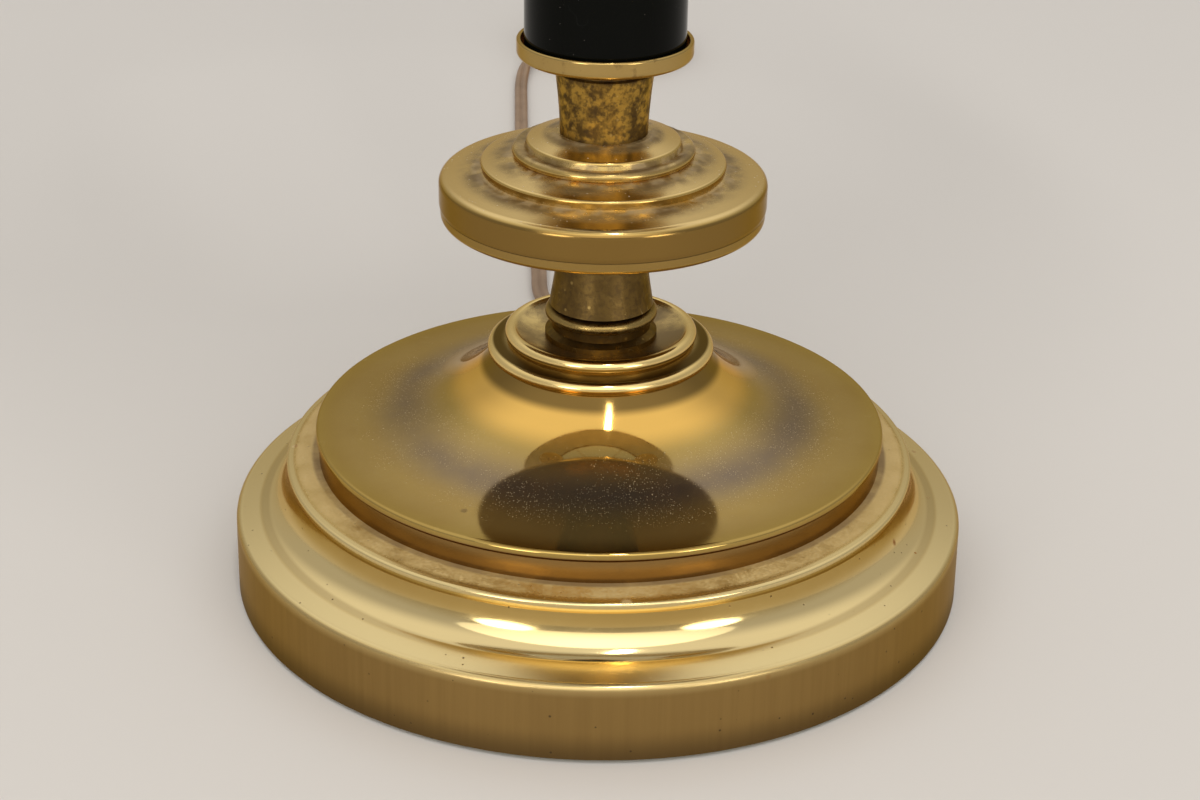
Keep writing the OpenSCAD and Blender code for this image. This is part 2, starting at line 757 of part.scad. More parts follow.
module arm(sign) {
    color(brass) side(sign) difference() {
        union() {
            arm_path(arm_r, arm_in_x, z_sleeve + arm_tip);
            difference() {
                translate([hub_r - 2, 0, z_arm]) rotate([0, 90, 0])
                    cylinder(h = arm_boss_l + 3, r = arm_boss_r, $fn = fn_small);
                translate([0, 0, z_arm - hub_r]) cylinder(h = 2 * hub_r, r = hub_r, $fn = fn_turn);
            }
            translate([candle_x, 0, z_pan - 3]) cylinder(h = 3, r1 = arm_r - 0.5, r2 = arm_boss_r, $fn = fn_small);
        }
        arm_path(arm_r - arm_t, arm_in_x - 1, z_sleeve + arm_tip + 1);
    }
}

module arm_left() {
    arm(-1);
}

module arm_right() {
    arm(1);
}

module arm_nuts() {
    for (sign = [-1, 1]) color(steel) side(sign)
        translate([arm_nut_x, 0, z_arm]) rotate([0, -90, 0]) rotate([0, 0, 30])
            hex_nut(0, arm_nut_t, arm_nut_af, arm_r);
}

module arm_wires() {
    for (sign = [-1, 1]) color(ivory) side(sign) arm_path(wire_d / 2, arm_in_x - 2, z_socket);
}

// ---- Candles ----

module drip_pan(sign) {
    pan_r = pan_d / 2;
    well_r = arm_boss_r + 3;
    bead = 1.1;
    side_z = z_pan + pan_depth;
    color(brass) translate([sign * candle_x, 0, 0]) turned(concat(
        [[arm_r + seat_gap, z_pan], [well_r, z_pan]],
        [for (i = [1 : fn_arc]) let (t = i / fn_arc)
            [well_r + (pan_r - bead - well_r) * t, z_pan + (pan_depth - bead) * pow(t, 1.8)]],
        arc_pts(pan_r - bead, side_z, bead, -60, 160),
        [for (i = [1 : fn_arc]) let (t = 1 - i / fn_arc)
            [well_r + (pan_r - 2 * bead - well_r) * t, z_cup + (pan_depth - bead) * pow(t, 1.8)]],
        [[arm_r + seat_gap, z_cup]]
    ));
}

module drip_pan_left() {
    drip_pan(-1);
}

module drip_pan_right() {
    drip_pan(1);
}

module candle_cup(sign) {
    lip_r = cup_d / 2;
    in_r = sleeve_d / 2 + seat_gap;
    foot_r = arm_boss_r + 1.5;
    waist_r = foot_r - 0.8;
    bowl_r = lip_r - 1.1;
    z_top = z_cup + cup_h;
    color(brass) translate([sign * candle_x, 0, 0]) turned(concat(
        [[arm_r + seat_gap, z_cup], [foot_r, z_cup], [foot_r, z_cup + 1]],
        [for (i = [0 : fn_arc]) let (t = i / fn_arc)
            [waist_r + (bowl_r - waist_r) * pow(sin(90 * t), 0.7), z_cup + 1.6 + (cup_h - 4.4) * t]],
        arc_pts(lip_r - 1, z_top - 1, 1, -60, 90),
        [[in_r, z_top], [in_r, z_sleeve], [arm_r + seat_gap, z_sleeve]]
    ));
}

module candle_cup_left() {
    candle_cup(-1);
}

module candle_cup_right() {
    candle_cup(1);
}

module candle_sleeve(sign) {
    color(ivory) translate([sign * candle_x, 0, 0])
        ring(z_sleeve, sleeve_l, sleeve_d / 2, sleeve_d / 2 - sleeve_t, fn_small);
}

module candle_sleeve_left() {
    candle_sleeve(-1);
}

module candle_sleeve_right() {
    candle_sleeve(1);
}

// A strip that stands on a drilled foot and holds the socket by its side
module socket_bracket(sign) {
    foot_t = 1.4;
    strip_t = 1.2;
    strip_w = 7;
    color(steel) translate([sign * candle_x, 0, 0]) {
        ring(z_sleeve, foot_t, socket_r + strip_t, arm_r + seat_gap, fn_small);
        translate([-strip_w / 2, socket_r, z_sleeve])
            cube([strip_w, strip_t, z_socket + socket_l / 2 - z_sleeve]);
    }
}

module socket_brackets() {
    for (sign = [-1, 1]) socket_bracket(sign);
}

module socket_body(sign) {
    color(black) translate([sign * candle_x, 0, 0]) difference() {
        translate([0, 0, z_socket]) cylinder(h = socket_l, r = socket_r, $fn = fn_small);
        translate([0, 0, z_socket + socket_floor]) cylinder(h = socket_l, r = shell_r, $fn = fn_small);
    }
}

module socket_body_left() {
    socket_body(-1);
}

module socket_body_right() {
    socket_body(1);
}

// The screw shell, open at both ends, and the contact tongue on the socket's floor
module socket_shell(sign) {
    z_floor = z_socket + socket_floor;
    color(brass) translate([sign * candle_x, 0, 0]) {
        ring(z_floor, socket_l - socket_floor, shell_r, shell_r - shell_t, fn_small);
        translate([0, 0, z_floor]) cylinder(h = 1, r = 2, $fn = fn_small);
    }
}

module socket_shells() {
    for (sign = [-1, 1]) socket_shell(sign);
}

module bulb_cap(sign) {
    screw_r = cap_screw_d / 2;
    color(brass) translate([sign * candle_x, 0, 0]) turned([
        [0, z_cap_screw - cap_tip_h], [1.6, z_cap_screw - cap_tip_h], [2, z_cap_screw - cap_tip_h + 0.6],
        [screw_r - 1, z_cap_screw], [screw_r, z_cap_screw + 1], [screw_r, z_glass],
        [screw_r - 0.3, z_glass], [screw_r - 0.3, z_cap_screw + 1.2], [0, z_cap_screw + 0.6]
    ], fn_small);
}

module bulb_cap_left() {
    bulb_cap(-1);
}

module bulb_cap_right() {
    bulb_cap(1);
}

// The lamp's inner stem: a flared foot, two support wires and the filament across them
module bulb_mount(sign) {
    foot_r = 4.8;
    stem_r = 1.7;
    z_foot_up = z_glass - 2.6;
    z_button = z_glass + bulb_h * 0.3;
    z_filament = z_glass + bulb_h * 0.5;
    support_r = 0.4;
    spread = 3.2;
    color(glass_tint) translate([sign * candle_x, 0, 0]) {
        turned([
            [0, z_foot_up], [foot_r, z_foot_up], [foot_r - 0.4, z_foot_up + 1.2],
            [stem_r + 0.4, z_foot_up + 6], [stem_r, z_foot_up + 9], [stem_r, z_button - 1.4],
            [stem_r + 0.6, z_button - 0.8], [stem_r + 0.6, z_button - 0.2],
            [stem_r, z_button + 0.4], [0, z_button + 0.4]
        ], fn_small);
        for (x = [-spread, spread]) translate([x / 4, 0, z_button - 1])
            rotate([0, atan2(x * 0.75, z_filament - z_button + 1), 0])
                cylinder(h = norm([x * 0.75, z_filament - z_button + 1]), r = support_r, $fn = 16);
        translate([-spread, 0, z_filament]) rotate([0, 90, 0]) cylinder(h = 2 * spread, r = 0.6, $fn = 16);
    }
}

module bulb_mount_left() {
    bulb_mount(-1);
}

module bulb_mount_right() {
    bulb_mount(1);
}

// Radius of the candle-shaped glass at a share t of its height
function flame_r(t, neck, belly) =
    t < 0.42 ? neck + (belly - neck) * (1 - cos(180 * t / 0.42)) / 2
             : belly * pow(max(0, 1 - pow((t - 0.42) / 0.58, 1.9)), 0.8);

module bulb_glass(sign) {
    neck = cap_screw_d / 2 - 0.4;
    belly = bulb_d / 2;
    steps = 24;
    color(glass_tint) translate([sign * candle_x, 0, 0]) turned(concat(
        [[neck - glass_t, z_glass - 3], [neck, z_glass - 3]],
        [for (i = [0 : steps]) let (t = i / steps) [flame_r(t, neck, belly), z_glass + bulb_h * t]],
        [for (i = [0 : steps]) let (t = 1 - i / steps)
            [max(0, flame_r(t, neck, belly) - glass_t), z_glass + (bulb_h - 1.5) * t]]
    ), fn_small);
}

module bulb_glass_left() {
    bulb_glass(-1);
}

module bulb_glass_right() {
    bulb_glass(1);
}

// ---- Shade ----

module shade_rod() {
    color(brass) {
        translate([0, 0, z_rod - rod_shank_l]) cylinder(h = rod_shank_l, r = rod_shank_r, $fn = fn_small);
        translate([0, 0, z_rod]) cylinder(h = rod_l, r = rod_r, $fn = fn_small);
        translate([0, 0, z_rod_top]) cylinder(h = rod_stud_l, r = rod_stud_r, $fn = fn_small);
    }
}

module shade_collar() {
    edge = 1;
    z_screw = z_collar + collar_h / 2;
    color(brass) difference() {
        union() {
            turned(concat(
                [[0, z_collar]],
                arc_pts(collar_r - edge, z_collar + edge, edge, -90, 0, 4),
                arc_pts(collar_r - edge, z_collar + collar_h - edge, edge, 0, 90, 4),
                [[0, z_collar + collar_h]]
            ));
            translate([0, 0, z_screw]) rod_y(-rod_r - 1, -collar_r - thumb_boss_l, thumb_boss_r);
        }
        translate([0, 0, z_collar - 1]) cylinder(h = collar_h + 2, r = rod_r + run_gap, $fn = fn_small);
        translate([0, 0, z_screw]) rod_y(0, -collar_r - thumb_boss_l - 1, thumb_thread_d / 2 + run_gap);
    }
}

module thumbscrew() {
    head_r = thumb_d / 2;
    y_head = collar_r + thumb_boss_l + thumb_head_gap;
    y_tip = rod_r + 0.3;
    grooves = 20;
    color(brass) translate([0, 0, z_collar + collar_h / 2]) rotate([90, 0, 0]) difference() {
        union() {
            translate([0, 0, y_tip]) cylinder(h = y_head - y_tip, r = thumb_thread_d / 2, $fn = fn_small);
            turned(concat(
                [[0, y_head - 1.4], [thumb_boss_r - 0.6, y_head - 1.4], [thumb_boss_r - 0.6, y_head]],
                [[head_r - 1, y_head], [head_r, y_head + 1]],
                arc_pts(head_r - 1, y_head + thumb_head_t - 1, 1, 0, 90),
                [[0, y_head + thumb_head_t]]
            ), fn_small);
        }
        for (i = [0 : grooves - 1]) rotate([0, 0, i * 360 / grooves])
            translate([head_r + 0.3, 0, y_head - 1]) cylinder(h = thumb_head_t + 2, r = 1, $fn = 16);
    }
}

module shade_spider() {
    edge = 1;
    color(brass) difference() {
        union() {
            turned(concat(
                [[0, z_spider]],
                arc_pts(collar_r - edge, z_spider + edge, edge, -90, 0, 4),
                arc_pts(collar_r - edge, z_spider + spider_hub_h - edge, edge, 0, 90, 4),
                [[0, z_spider + spider_hub_h]]
            ));
            for (a = [45 : 90 : 315]) translate([0, 0, z_wires]) rotate([0, 90, a])
                translate([0, 0, rod_r + 1])
                    cylinder(h = spider_ring_r - rod_r - 1, r = wire_r - spoke_thin, $fn = fn_small);
            translate([0, 0, z_wires]) rotate_extrude($fn = fn_turn)
                translate([spider_ring_r, 0]) circle(r = wire_r, $fn = fn_small);
        }
        translate([0, 0, z_spider - 1]) cylinder(h = spider_hub_h + 2, r = rod_r + run_gap, $fn = fn_small);
    }
}

module shade_shell() {
    top_r = shade_top_d / 2;
    bottom_r = shade_bottom_d / 2;
    color(black) turned([
        [bottom_r, z_shade], [top_r, z_shade_top],
        [top_r - shade_t, z_shade_top], [bottom_r - shade_t, z_shade]
    ]);
}

// A rolled band whose flat side sits on the shade's edge; dir is 1 above and -1 below
module shade_band(r, z, dir) {
    flat_a = 30;
    color(brass) turned([for (p = arc_pts(0, 0, band_r, -90 + flat_a, 270 - flat_a, 14))
        [r - shade_t / 2 + p[0], z + dir * (p[1] + band_r * cos(flat_a))]]);
}

module shade_top_band() {
    shade_band(shade_top_d / 2, z_shade_top, 1);
}

module shade_bottom_band() {
    shade_band(shade_bottom_d / 2, z_shade, -1);
}

module finial() {
    z_0 = z_rod_top + turn_gap;
    base_disc = 8;
    bead = 1.5;
    urn_r = 8.5;
    z_urn = z_0 + finial_h * 0.45;
    tip_r = 2.2;
    z_tip = z_0 + finial_h - tip_r;
    color(brass) turned(concat(
        [[rod_stud_r + run_gap, z_0]],
        arc_pts(base_disc - bead, z_0 + bead, bead, -90, 90),
        [[4.6, z_0 + 2 * bead + 1.2], [4.2, z_0 + finial_h * 0.22]],
        arc_pts(0, z_urn, urn_r, -50, 55, 14),
        [[2.4, z_urn + urn_r * 0.95], [1.5, z_tip - tip_r * 0.75]],
        arc_pts(0, z_tip, tip_r, -45, 90, 10),
        [[0, z_0 + rod_stud_l + 0.5], [rod_stud_r + run_gap, z_0 + rod_stud_l + 0.5]]
    ), fn_small);
}

// ---- Lead ----

// The lead inside the lamp: from the strain relief's tip, up the threaded tube to the hub
module inner_lead() {
    color(tan_lead) {
        translate([0, 0, exit_z]) rod_y(relief_tip, lead_bend_r, inner_lead_r);
        translate([0, lead_bend_r, exit_z + lead_bend_r]) rotate([90, 0, -90]) rotate([0, 0, -90])
            rotate_extrude(angle = 90, $fn = fn_small)
                translate([lead_bend_r, 0]) circle(r = inner_lead_r, $fn = fn_small);
        translate([0, 0, exit_z + lead_bend_r])
            cylinder(h = z_pipe_top + 1 - exit_z - lead_bend_r, r = inner_lead_r, $fn = fn_small);
    }
}

function unit(v) = v / norm(v);

// Direction of a route at its point i
function heading(route, i) =
    unit(route[min(i + 1, len(route) - 1)] - route[max(i - 1, 0)]);

// One ring of the lead's flat section round a route's point
function lead_ring(route, i, sides) =
    let (t = heading(route, i), across = unit(cross(t, [0, 0, 1])), up = cross(across, t))
    [for (k = [0 : sides - 1]) let (a = 360 * (k + 0.5) / sides)
        route[i] + across * (lead_w / 2 * cos(a)) + up * (lead_t / 2 * sin(a))];

// The lead swept along a route: a ring at each point, joined by quads
module swept_lead(route) {
    sides = 8;
    rings = len(route);
    points = [for (i = [0 : rings - 1]) each lead_ring(route, i, sides)];
    walls = [for (i = [0 : rings - 2], k = [0 : sides - 1])
        let (a = i * sides + k, b = i * sides + (k + 1) % sides) [a, b, b + sides, a + sides]];
    near_end = [[for (k = [sides - 1 : -1 : 0]) k]];
    far_end = [[for (k = [0 : sides - 1]) (rings - 1) * sides + k]];
    polyhedron(points, concat(walls, near_end, far_end));
}

module cord_run() {
    color(tan_lead) swept_lead(cord_route);
}

module cord_coil() {
    inner_c = coil_inner_r + coil_round;
    outer_c = coil_outer_r - coil_round;
    z_low = tie_t + coil_round;
    z_high = tie_t + coil_h - coil_round;
    color(tan_lead) translate([coil_centre[0], coil_centre[1], 0]) turned(concat(
        arc_pts(outer_c, z_low, coil_round, -90, 0, 4),
        arc_pts(outer_c, z_high, coil_round, 0, 90, 4),
        arc_pts(inner_c, z_high, coil_round, 90, 180, 4),
        arc_pts(inner_c, z_low, coil_round, 180, 270, 4)
    ));
}

module cord_tail() {
    color(tan_lead) swept_lead(tail_route);
}

// A strap round the coil's turns, at its side away from the lamp
module cord_tie() {
    inner_y = sqrt(pow(coil_inner_r, 2) - pow(tie_w / 2, 2));
    bundle = coil_outer_r - inner_y;
    tie_a = -35;
    color(black) translate([coil_centre[0], coil_centre[1], 0]) rotate([0, 0, tie_a])
        translate([-tie_w / 2, inner_y - tie_t, 0]) difference() {
            cube([tie_w, bundle + 2 * tie_t, coil_h + 2 * tie_t]);
            translate([-1, tie_t, tie_t]) cube([tie_w + 2, bundle, coil_h]);
        }
}

// The plug's outline: a grip that narrows to its tail
module plug_body() {
    tail_w = 9;
    tail_t = 6;
    grip = plug_l * 0.55;
    color(black) translate([plug_at[0], plug_at[1], z_plug]) difference() {
        intersection() {
            linear_extrude(height = plug_t) polygon([
                [-tail_w / 2, 0], [tail_w / 2, 0], [plug_w / 2 - 2, plug_l - grip],
                [plug_w / 2, plug_l - grip + 2], [plug_w / 2, plug_l - 1.5], [plug_w / 2 - 1.5, plug_l],
                [-plug_w / 2 + 1.5, plug_l], [-plug_w / 2, plug_l - 1.5],
                [-plug_w / 2, plug_l - grip + 2], [-plug_w / 2 + 2, plug_l - grip]
            ]);
            translate([-plug_w / 2, 0, 0]) rotate([90, 0, 90]) linear_extrude(height = plug_w) polygon([
                [0, (plug_t - tail_t) / 2], [plug_l - grip, 0], [plug_l, 0], [plug_l, plug_t],
                [plug_l - grip, plug_t], [0, (plug_t + tail_t) / 2]
            ]);
        }
        for (sign = [-1, 1]) translate([sign * plug_w / 2, plug_l - grip / 2, -1])
            cylinder(h = plug_t + 2, r = 1.2, $fn = 24);
    }
}

module plug_blades() {
    pitch = 12.7;
    blade = [1.5, 17, 6.3];
    color(brass) for (sign = [-1, 1])
        translate([plug_at[0] + sign * pitch / 2 - blade[0] / 2, plug_at[1] + plug_l,
            z_plug + plug_t / 2 - blade[2] / 2]) cube(blade);
}

felt_pad();
base_ring();
base_weight();
base_washer();
base_nut();
cord_bushing();
base_dome();
dome_cap();
lower_neck();
knop_plate();
knop_shell();
upper_neck();
lower_ferrule();
column_tube();
upper_ferrule();
hub_neck();
stack_pipe();
hub_body();
hub_nut();
hub_cover();
switch_body();
switch_nut();
switch_shaft();
switch_knob();
arm_left();
arm_right();
arm_nuts();
drip_pan_left();
drip_pan_right();
candle_cup_left();
candle_cup_right();
candle_sleeve_left();
candle_sleeve_right();
socket_brackets();
socket_body_left();
socket_body_right();
socket_shells();
bulb_cap_left();
bulb_cap_right();
bulb_mount_left();
bulb_mount_right();
bulb_glass_left();
bulb_glass_right();
shade_rod();
shade_collar();
thumbscrew();
shade_spider();
shade_shell();
shade_top_band();
shade_bottom_band();
finial();
inner_lead();
arm_wires();
cord_run();
cord_coil();
cord_tail();
cord_tie();
plug_body();
plug_blades();
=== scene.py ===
import math

import bmesh
import bpy
import numpy as np
from mathutils import Matrix, Vector


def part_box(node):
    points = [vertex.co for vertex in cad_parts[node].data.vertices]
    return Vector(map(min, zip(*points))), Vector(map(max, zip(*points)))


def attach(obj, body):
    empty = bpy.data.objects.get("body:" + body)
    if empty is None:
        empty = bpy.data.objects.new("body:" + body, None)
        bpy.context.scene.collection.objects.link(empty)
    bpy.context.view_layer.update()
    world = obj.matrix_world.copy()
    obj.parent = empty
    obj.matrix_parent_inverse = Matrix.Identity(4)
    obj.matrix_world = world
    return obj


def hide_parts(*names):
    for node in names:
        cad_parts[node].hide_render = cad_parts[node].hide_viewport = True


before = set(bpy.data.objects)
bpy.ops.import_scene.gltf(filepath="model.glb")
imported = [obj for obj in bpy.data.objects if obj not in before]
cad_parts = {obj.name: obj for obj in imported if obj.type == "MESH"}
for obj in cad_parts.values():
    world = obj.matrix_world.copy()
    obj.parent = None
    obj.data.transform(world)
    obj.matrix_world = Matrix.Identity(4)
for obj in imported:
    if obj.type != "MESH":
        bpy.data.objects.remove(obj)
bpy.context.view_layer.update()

# Shapes are worked out in millimetres and put into the scene in metres
MM = 0.001


# ---- Sizes taken from the frame ----

def low(node):
    """Height of a node's underside, in millimetres."""
    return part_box(node)[0].z / MM


def top(node):
    """Height of a node's upper side, in millimetres."""
    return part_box(node)[1].z / MM


def reach(node):
    """Half the width of a node, in millimetres."""
    lowest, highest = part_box(node)
    return (highest.x - lowest.x) / 2 / MM


def middle(node):
    """Where a node's middle stands along x, in millimetres."""
    lowest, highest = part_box(node)
    return (highest.x + lowest.x) / 2 / MM


# Heights of the foot
Z_FOOT = low("base_ring")
Z_SEAT = top("base_ring")
Z_DOME_TOP = low("dome_cap")
Z_NECK = low("lower_neck")
DOME_RISE = 17.5
Z_LIP = Z_DOME_TOP - DOME_RISE
Z_RIM = Z_FOOT + 18.5
COVE_H = 9.3
Z_COVE_TOP = Z_RIM + 1.2 + COVE_H
Z_SHOULDER = Z_SEAT - 0.6

# Radii of the foot
FLARE = 0.3
FOOT_R = reach("base_ring") - FLARE
RIM_IN = FOOT_R - 6.5
COVE_W = 6.5
COVE_IN = RIM_IN - COVE_W
DOME_R = reach("base_dome")
BORE_R = 4.95
CAP_R = reach("dome_cap")
CAP_SEAT_R = CAP_R - 1.2

# Heights and radii of the stem and the column
Z_PLATE = low("knop_plate")
Z_SEAM = low("knop_shell")
Z_KNOP_TOP = top("knop_shell")
Z_TIER_1 = Z_SEAM + 7.7
Z_TIER_2 = Z_TIER_1 + 3.4
Z_TIER_3 = Z_TIER_2 + 3.7
KNOP_R = reach("knop_shell")
TIER_2_R = 28.6
TIER_3_R = 21.3
TOP_TIER_R = 18.0
KNOP_TOP_R = 11.2
STEM_R = 10.2
NECK_BEAD_R = reach("lower_neck")
Z_FERRULE = low("lower_ferrule")
FERRULE_R = reach("lower_ferrule")
Z_COLUMN = low("column_tube")
Z_COLUMN_TOP = top("column_tube")
COLUMN_R = reach("column_tube")
Z_HUB_NECK = low("hub_neck")
Z_HUB = low("hub_body")
Z_COVER = top("hub_body")
HUB_R = 21.0
Z_ROD = top("hub_cover")
ROD_R = reach("shade_rod")
Z_ROD_STUD = top("shade_rod") - 10

# The arms and what they carry
Z_ARM = (low("switch_knob") + top("switch_knob")) / 2
CANDLE_X = middle("candle_sleeve_right")
Z_PAN = low("drip_pan_right")
Z_CUP = low("candle_cup_right")
Z_CUP_TOP = top("candle_cup_right")
Z_SLEEVE = low("candle_sleeve_right")
Z_SLEEVE_TOP = top("candle_sleeve_right")
ARM_R = 4.5
BOSS_R = 6.5

# The shade and what carries it
Z_COLLAR = low("shade_collar")
COLLAR_H = top("shade_collar") - Z_COLLAR
COLLAR_R = 9.5
Z_SCREW = Z_COLLAR + COLLAR_H / 2
Z_SPIDER = low("shade_spider")
SPIDER_H = top("shade_spider") - Z_SPIDER
Z_WIRES = Z_SPIDER + SPIDER_H / 2
Z_SHADE = low("shade_shell")
Z_SHADE_TOP = top("shade_shell")
SHADE_R = reach("shade_shell")
SHADE_TOP_R = 118.0
SHADE_T = 0.8

# Colours of the brass and of what has settled on it
PALE_GOLD = (0.68, 0.53, 0.24)
GOLD = (0.53, 0.365, 0.12)
DEEP_GOLD = (0.32, 0.195, 0.055)
BROWN_GOLD = (0.17, 0.10, 0.035)
DARK_BROWN = (0.05, 0.03, 0.015)
TARNISH = (0.165, 0.125, 0.10)
DUST = (0.37, 0.275, 0.155)
ORANGE_SPOT = (0.30, 0.13, 0.03)


# ---- Shapes ----

def arc(centre_r, centre_z, radius, start, end, steps=12):
    """Points of an arc: centre plus radius times (cos a, sin a), for a from start to end degrees."""
    angle = np.radians(np.linspace(start, end, steps + 1))
    return np.column_stack((centre_r + radius * np.cos(angle), centre_z + radius * np.sin(angle)))


def outline(*parts):
    """Points and arcs one after the other, as one list of (radius, height)."""
    return np.vstack([np.atleast_2d(np.asarray(part, float)) for part in parts])


def supported(points, closed):
    """Profile points with one more near both ends of each long straight stretch, which keeps
    the shading flat between them."""
    gap = 0.15
    ahead = np.roll(points, -1, axis=0)
    step = ahead - points
    length = np.hypot(step[:, 0], step[:, 1])
    share = np.where(length > 6 * gap, gap / np.maximum(length, 1e-9), np.nan)[:, None]
    rows = np.stack((points, points + step * share, ahead - step * share), axis=1)
    if not closed:
        rows[-1, 1:] = np.nan
    rows = rows.reshape(-1, 2)
    return rows[~np.isnan(rows[:, 0])]


def grid_faces(rows, columns, closed_rows, closed_columns=True):
    """Quads between neighbouring points of a grid, round both ways where it is closed."""
    i = np.arange(rows if closed_rows else rows - 1)[:, None]
    j = np.arange(columns if closed_columns else columns - 1)[None, :]
    down = (i + 1) % rows
    right = (j + 1) % columns
    quads = (i * columns + j, i * columns + right, down * columns + right, down * columns + j)
    return np.stack(np.broadcast_arrays(*quads), axis=-1).reshape(-1, 4)


def turned(profile, segments, centre_x=0.0, closed=True, shape=None):
    """Surface of revolution: a profile point (r, z) goes to (x0 + r cos a, r sin a, z) for each
    angle a. shape may change r by a and z, as a knurl does."""
    points = supported(outline(profile), closed)
    angle = np.linspace(0, 2 * math.pi, segments, endpoint=False)[None, :]
    radius = np.broadcast_to(points[:, :1], (len(points), segments))
    height = np.broadcast_to(points[:, 1:], (len(points), segments))
    if shape:
        radius = shape(radius, angle, height)
    corners = (centre_x + radius * np.cos(angle), radius * np.sin(angle), height)
    faces = grid_faces(len(points), segments, closed)
    return np.stack(corners, axis=-1).reshape(-1, 3), faces


def facing_front(surface, height):
    """A surface turned about +Z, laid so that its axis runs towards the front at a height."""
    points, faces = surface
    return np.column_stack((points[:, 0], -points[:, 2], points[:, 1] + height)), faces


def unit(vectors):
    """Vectors divided by their lengths."""
    return vectors / np.linalg.norm(vectors, axis=-1, keepdims=True)


def swept(path, section, across, closed=False):
    """A section carried along a path: the point (u, v) of the section goes to
    path + u across + v up, where up stands square to the path and to across."""
    across = np.broadcast_to(across, path.shape)
    heading = unit(np.gradient(path, axis=0))
    if closed:
        heading = unit(np.roll(path, -1, axis=0) - np.roll(path, 1, axis=0))
    up = unit(np.cross(across, heading))
    section = np.asarray(section)
    if section.ndim == 2:
        section = np.broadcast_to(section, (len(path),) + section.shape)
    offsets = section[..., :1] * across[:, None, :] + section[..., 1:] * up[:, None, :]
    points = path[:, None, :] + offsets
    rows, columns = points.shape[:2]
    faces = grid_faces(rows, columns, closed)
    points = points.reshape(-1, 3)
    if closed:
        return points, faces
    ends = np.vstack((path[0], path[-1]))
    ring = np.arange(columns)
    after = (ring + 1) % columns
    first = np.full(columns, len(points))
    last = first + 1
    step = (rows - 1) * columns
    near = np.column_stack((first, after, ring, ring))
    far = np.column_stack((last, step + ring, step + after, step + after))
    return np.vstack((points, ends)), np.vstack((faces, near, far))


def round_section(radius, sides=24):
    """Points of a circle about (0, 0)."""
    angle = np.linspace(0, 2 * math.pi, sides, endpoint=False)
    return radius * np.column_stack((np.cos(angle), np.sin(angle)))


def smooth_path(points, spacing):
    """A natural cubic through the points, at even steps of about the spacing."""
    points = np.asarray(points, float)
    chord = np.r_[0, np.cumsum(np.linalg.norm(np.diff(points, axis=0), axis=1))]
    gaps = np.diff(chord)
    count = len(points)
    matrix = np.eye(count)
    target = np.zeros((count, 3))
    inner = np.arange(1, count - 1)
    matrix[inner, inner - 1] = gaps[:-1]
    matrix[inner, inner] = 2 * (gaps[:-1] + gaps[1:])
    matrix[inner, inner + 1] = gaps[1:]
    slope = np.diff(points, axis=0) / gaps[:, None]
    target[inner] = 6 * np.diff(slope, axis=0)
    bend = np.linalg.solve(matrix, target)
    along = np.linspace(0, chord[-1], int(chord[-1] / spacing) + 1)
    i = np.clip(np.searchsorted(chord, along, side="right") - 1, 0, count - 2)
    h = gaps[i][:, None]
    a = (chord[i + 1] - along)[:, None] / h
    b = 1 - a
    curve = (a ** 3 - a) * bend[i] + (b ** 3 - b) * bend[i + 1]
    return a * points[i] + b * points[i + 1] + curve * h ** 2 / 6


def piece(name, surfaces, finishes, body, nodes, crease=32):
    """One object from surfaces in millimetres. Each surface is (points, faces) or (points, faces,
    number of its finish)."""
    points = []
    faces = []
    numbers = []
    for surface in surfaces:
        faces.append(surface[1] + sum(len(part) for part in points))
        points.append(surface[0])
        numbers.append(np.full(len(surface[1]), surface[2] if len(surface) > 2 else 0))
    faces = np.vstack(faces)
    mesh = bpy.data.meshes.new(name)
    corners = [face[:3] if face[2] == face[3] else face for face in faces.tolist()]
    mesh.from_pydata((np.vstack(points) * MM).tolist(), [], corners)
    mesh.polygons.foreach_set("material_index", np.concatenate(numbers).astype(np.int32))
    work = bmesh.new()
    work.from_mesh(mesh)
    bmesh.ops.remove_doubles(work, verts=work.verts, dist=2e-6)
    work.to_mesh(mesh)
    work.free()
    mesh.polygons.foreach_set("use_smooth", np.ones(len(mesh.polygons), bool))
    mesh.set_sharp_from_angle(angle=math.radians(crease))
    for finish in finishes if isinstance(finishes, list) else [finishes]:
        mesh.materials.append(finish)
    made = bpy.data.objects.new(name, mesh)
    bpy.context.scene.collection.objects.link(made)
    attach(made, body)
    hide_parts(*nodes)
    return made


def spun(name, profile, finish, node, body="lamp", segments=256,
         centre_x=0.0, closed=True):
    """One object that is a single surface of revolution."""
    piece(name, [turned(profile, segments, centre_x, closed)], finish, body, (node,))


# ---- Camera ----

def place_camera():
    """The camera looks at the foot from the front, 25.5 degrees down."""
    tilt = math.radians(25.487)
    roll = math.radians(0.909)
    right = Vector((1, 0, 0))
    up = Vector((0, math.sin(tilt), math.cos(tilt)))
    ahead = Vector((0, math.cos(tilt), -math.sin(tilt)))
    axis_x = math.cos(roll) * right + math.sin(roll) * up
    axis_y = -math.sin(roll) * right + math.cos(roll) * up
    lens = bpy.data.cameras.new("camera")
    lens.sensor_fit = "HORIZONTAL"
    lens.sensor_width = 36
    lens.lens = 66.438
    lens.clip_start = 0.01
    camera = bpy.data.objects.new("camera", lens)
    turn = Matrix((axis_x, axis_y, -ahead)).transposed().to_4x4()
    camera.matrix_world = Matrix.Translation((0.00007, -0.48779, 0.27726)) @ turn
    bpy.context.scene.collection.objects.link(camera)
    bpy.context.scene.camera = camera


place_camera()


# ---- Node layouts ----

class Value:
    """A number or a colour that nodes work out. Its sums and products add the nodes for them."""

    def __init__(self, layout, socket):
        self.layout = layout
        self.socket = socket

    def __add__(self, other):
        return self.layout.math("ADD", self, other)

    def __sub__(self, other):
        return self.layout.math("SUBTRACT", self, other)

    def __mul__(self, other):
        return self.layout.math("MULTIPLY", self, other)


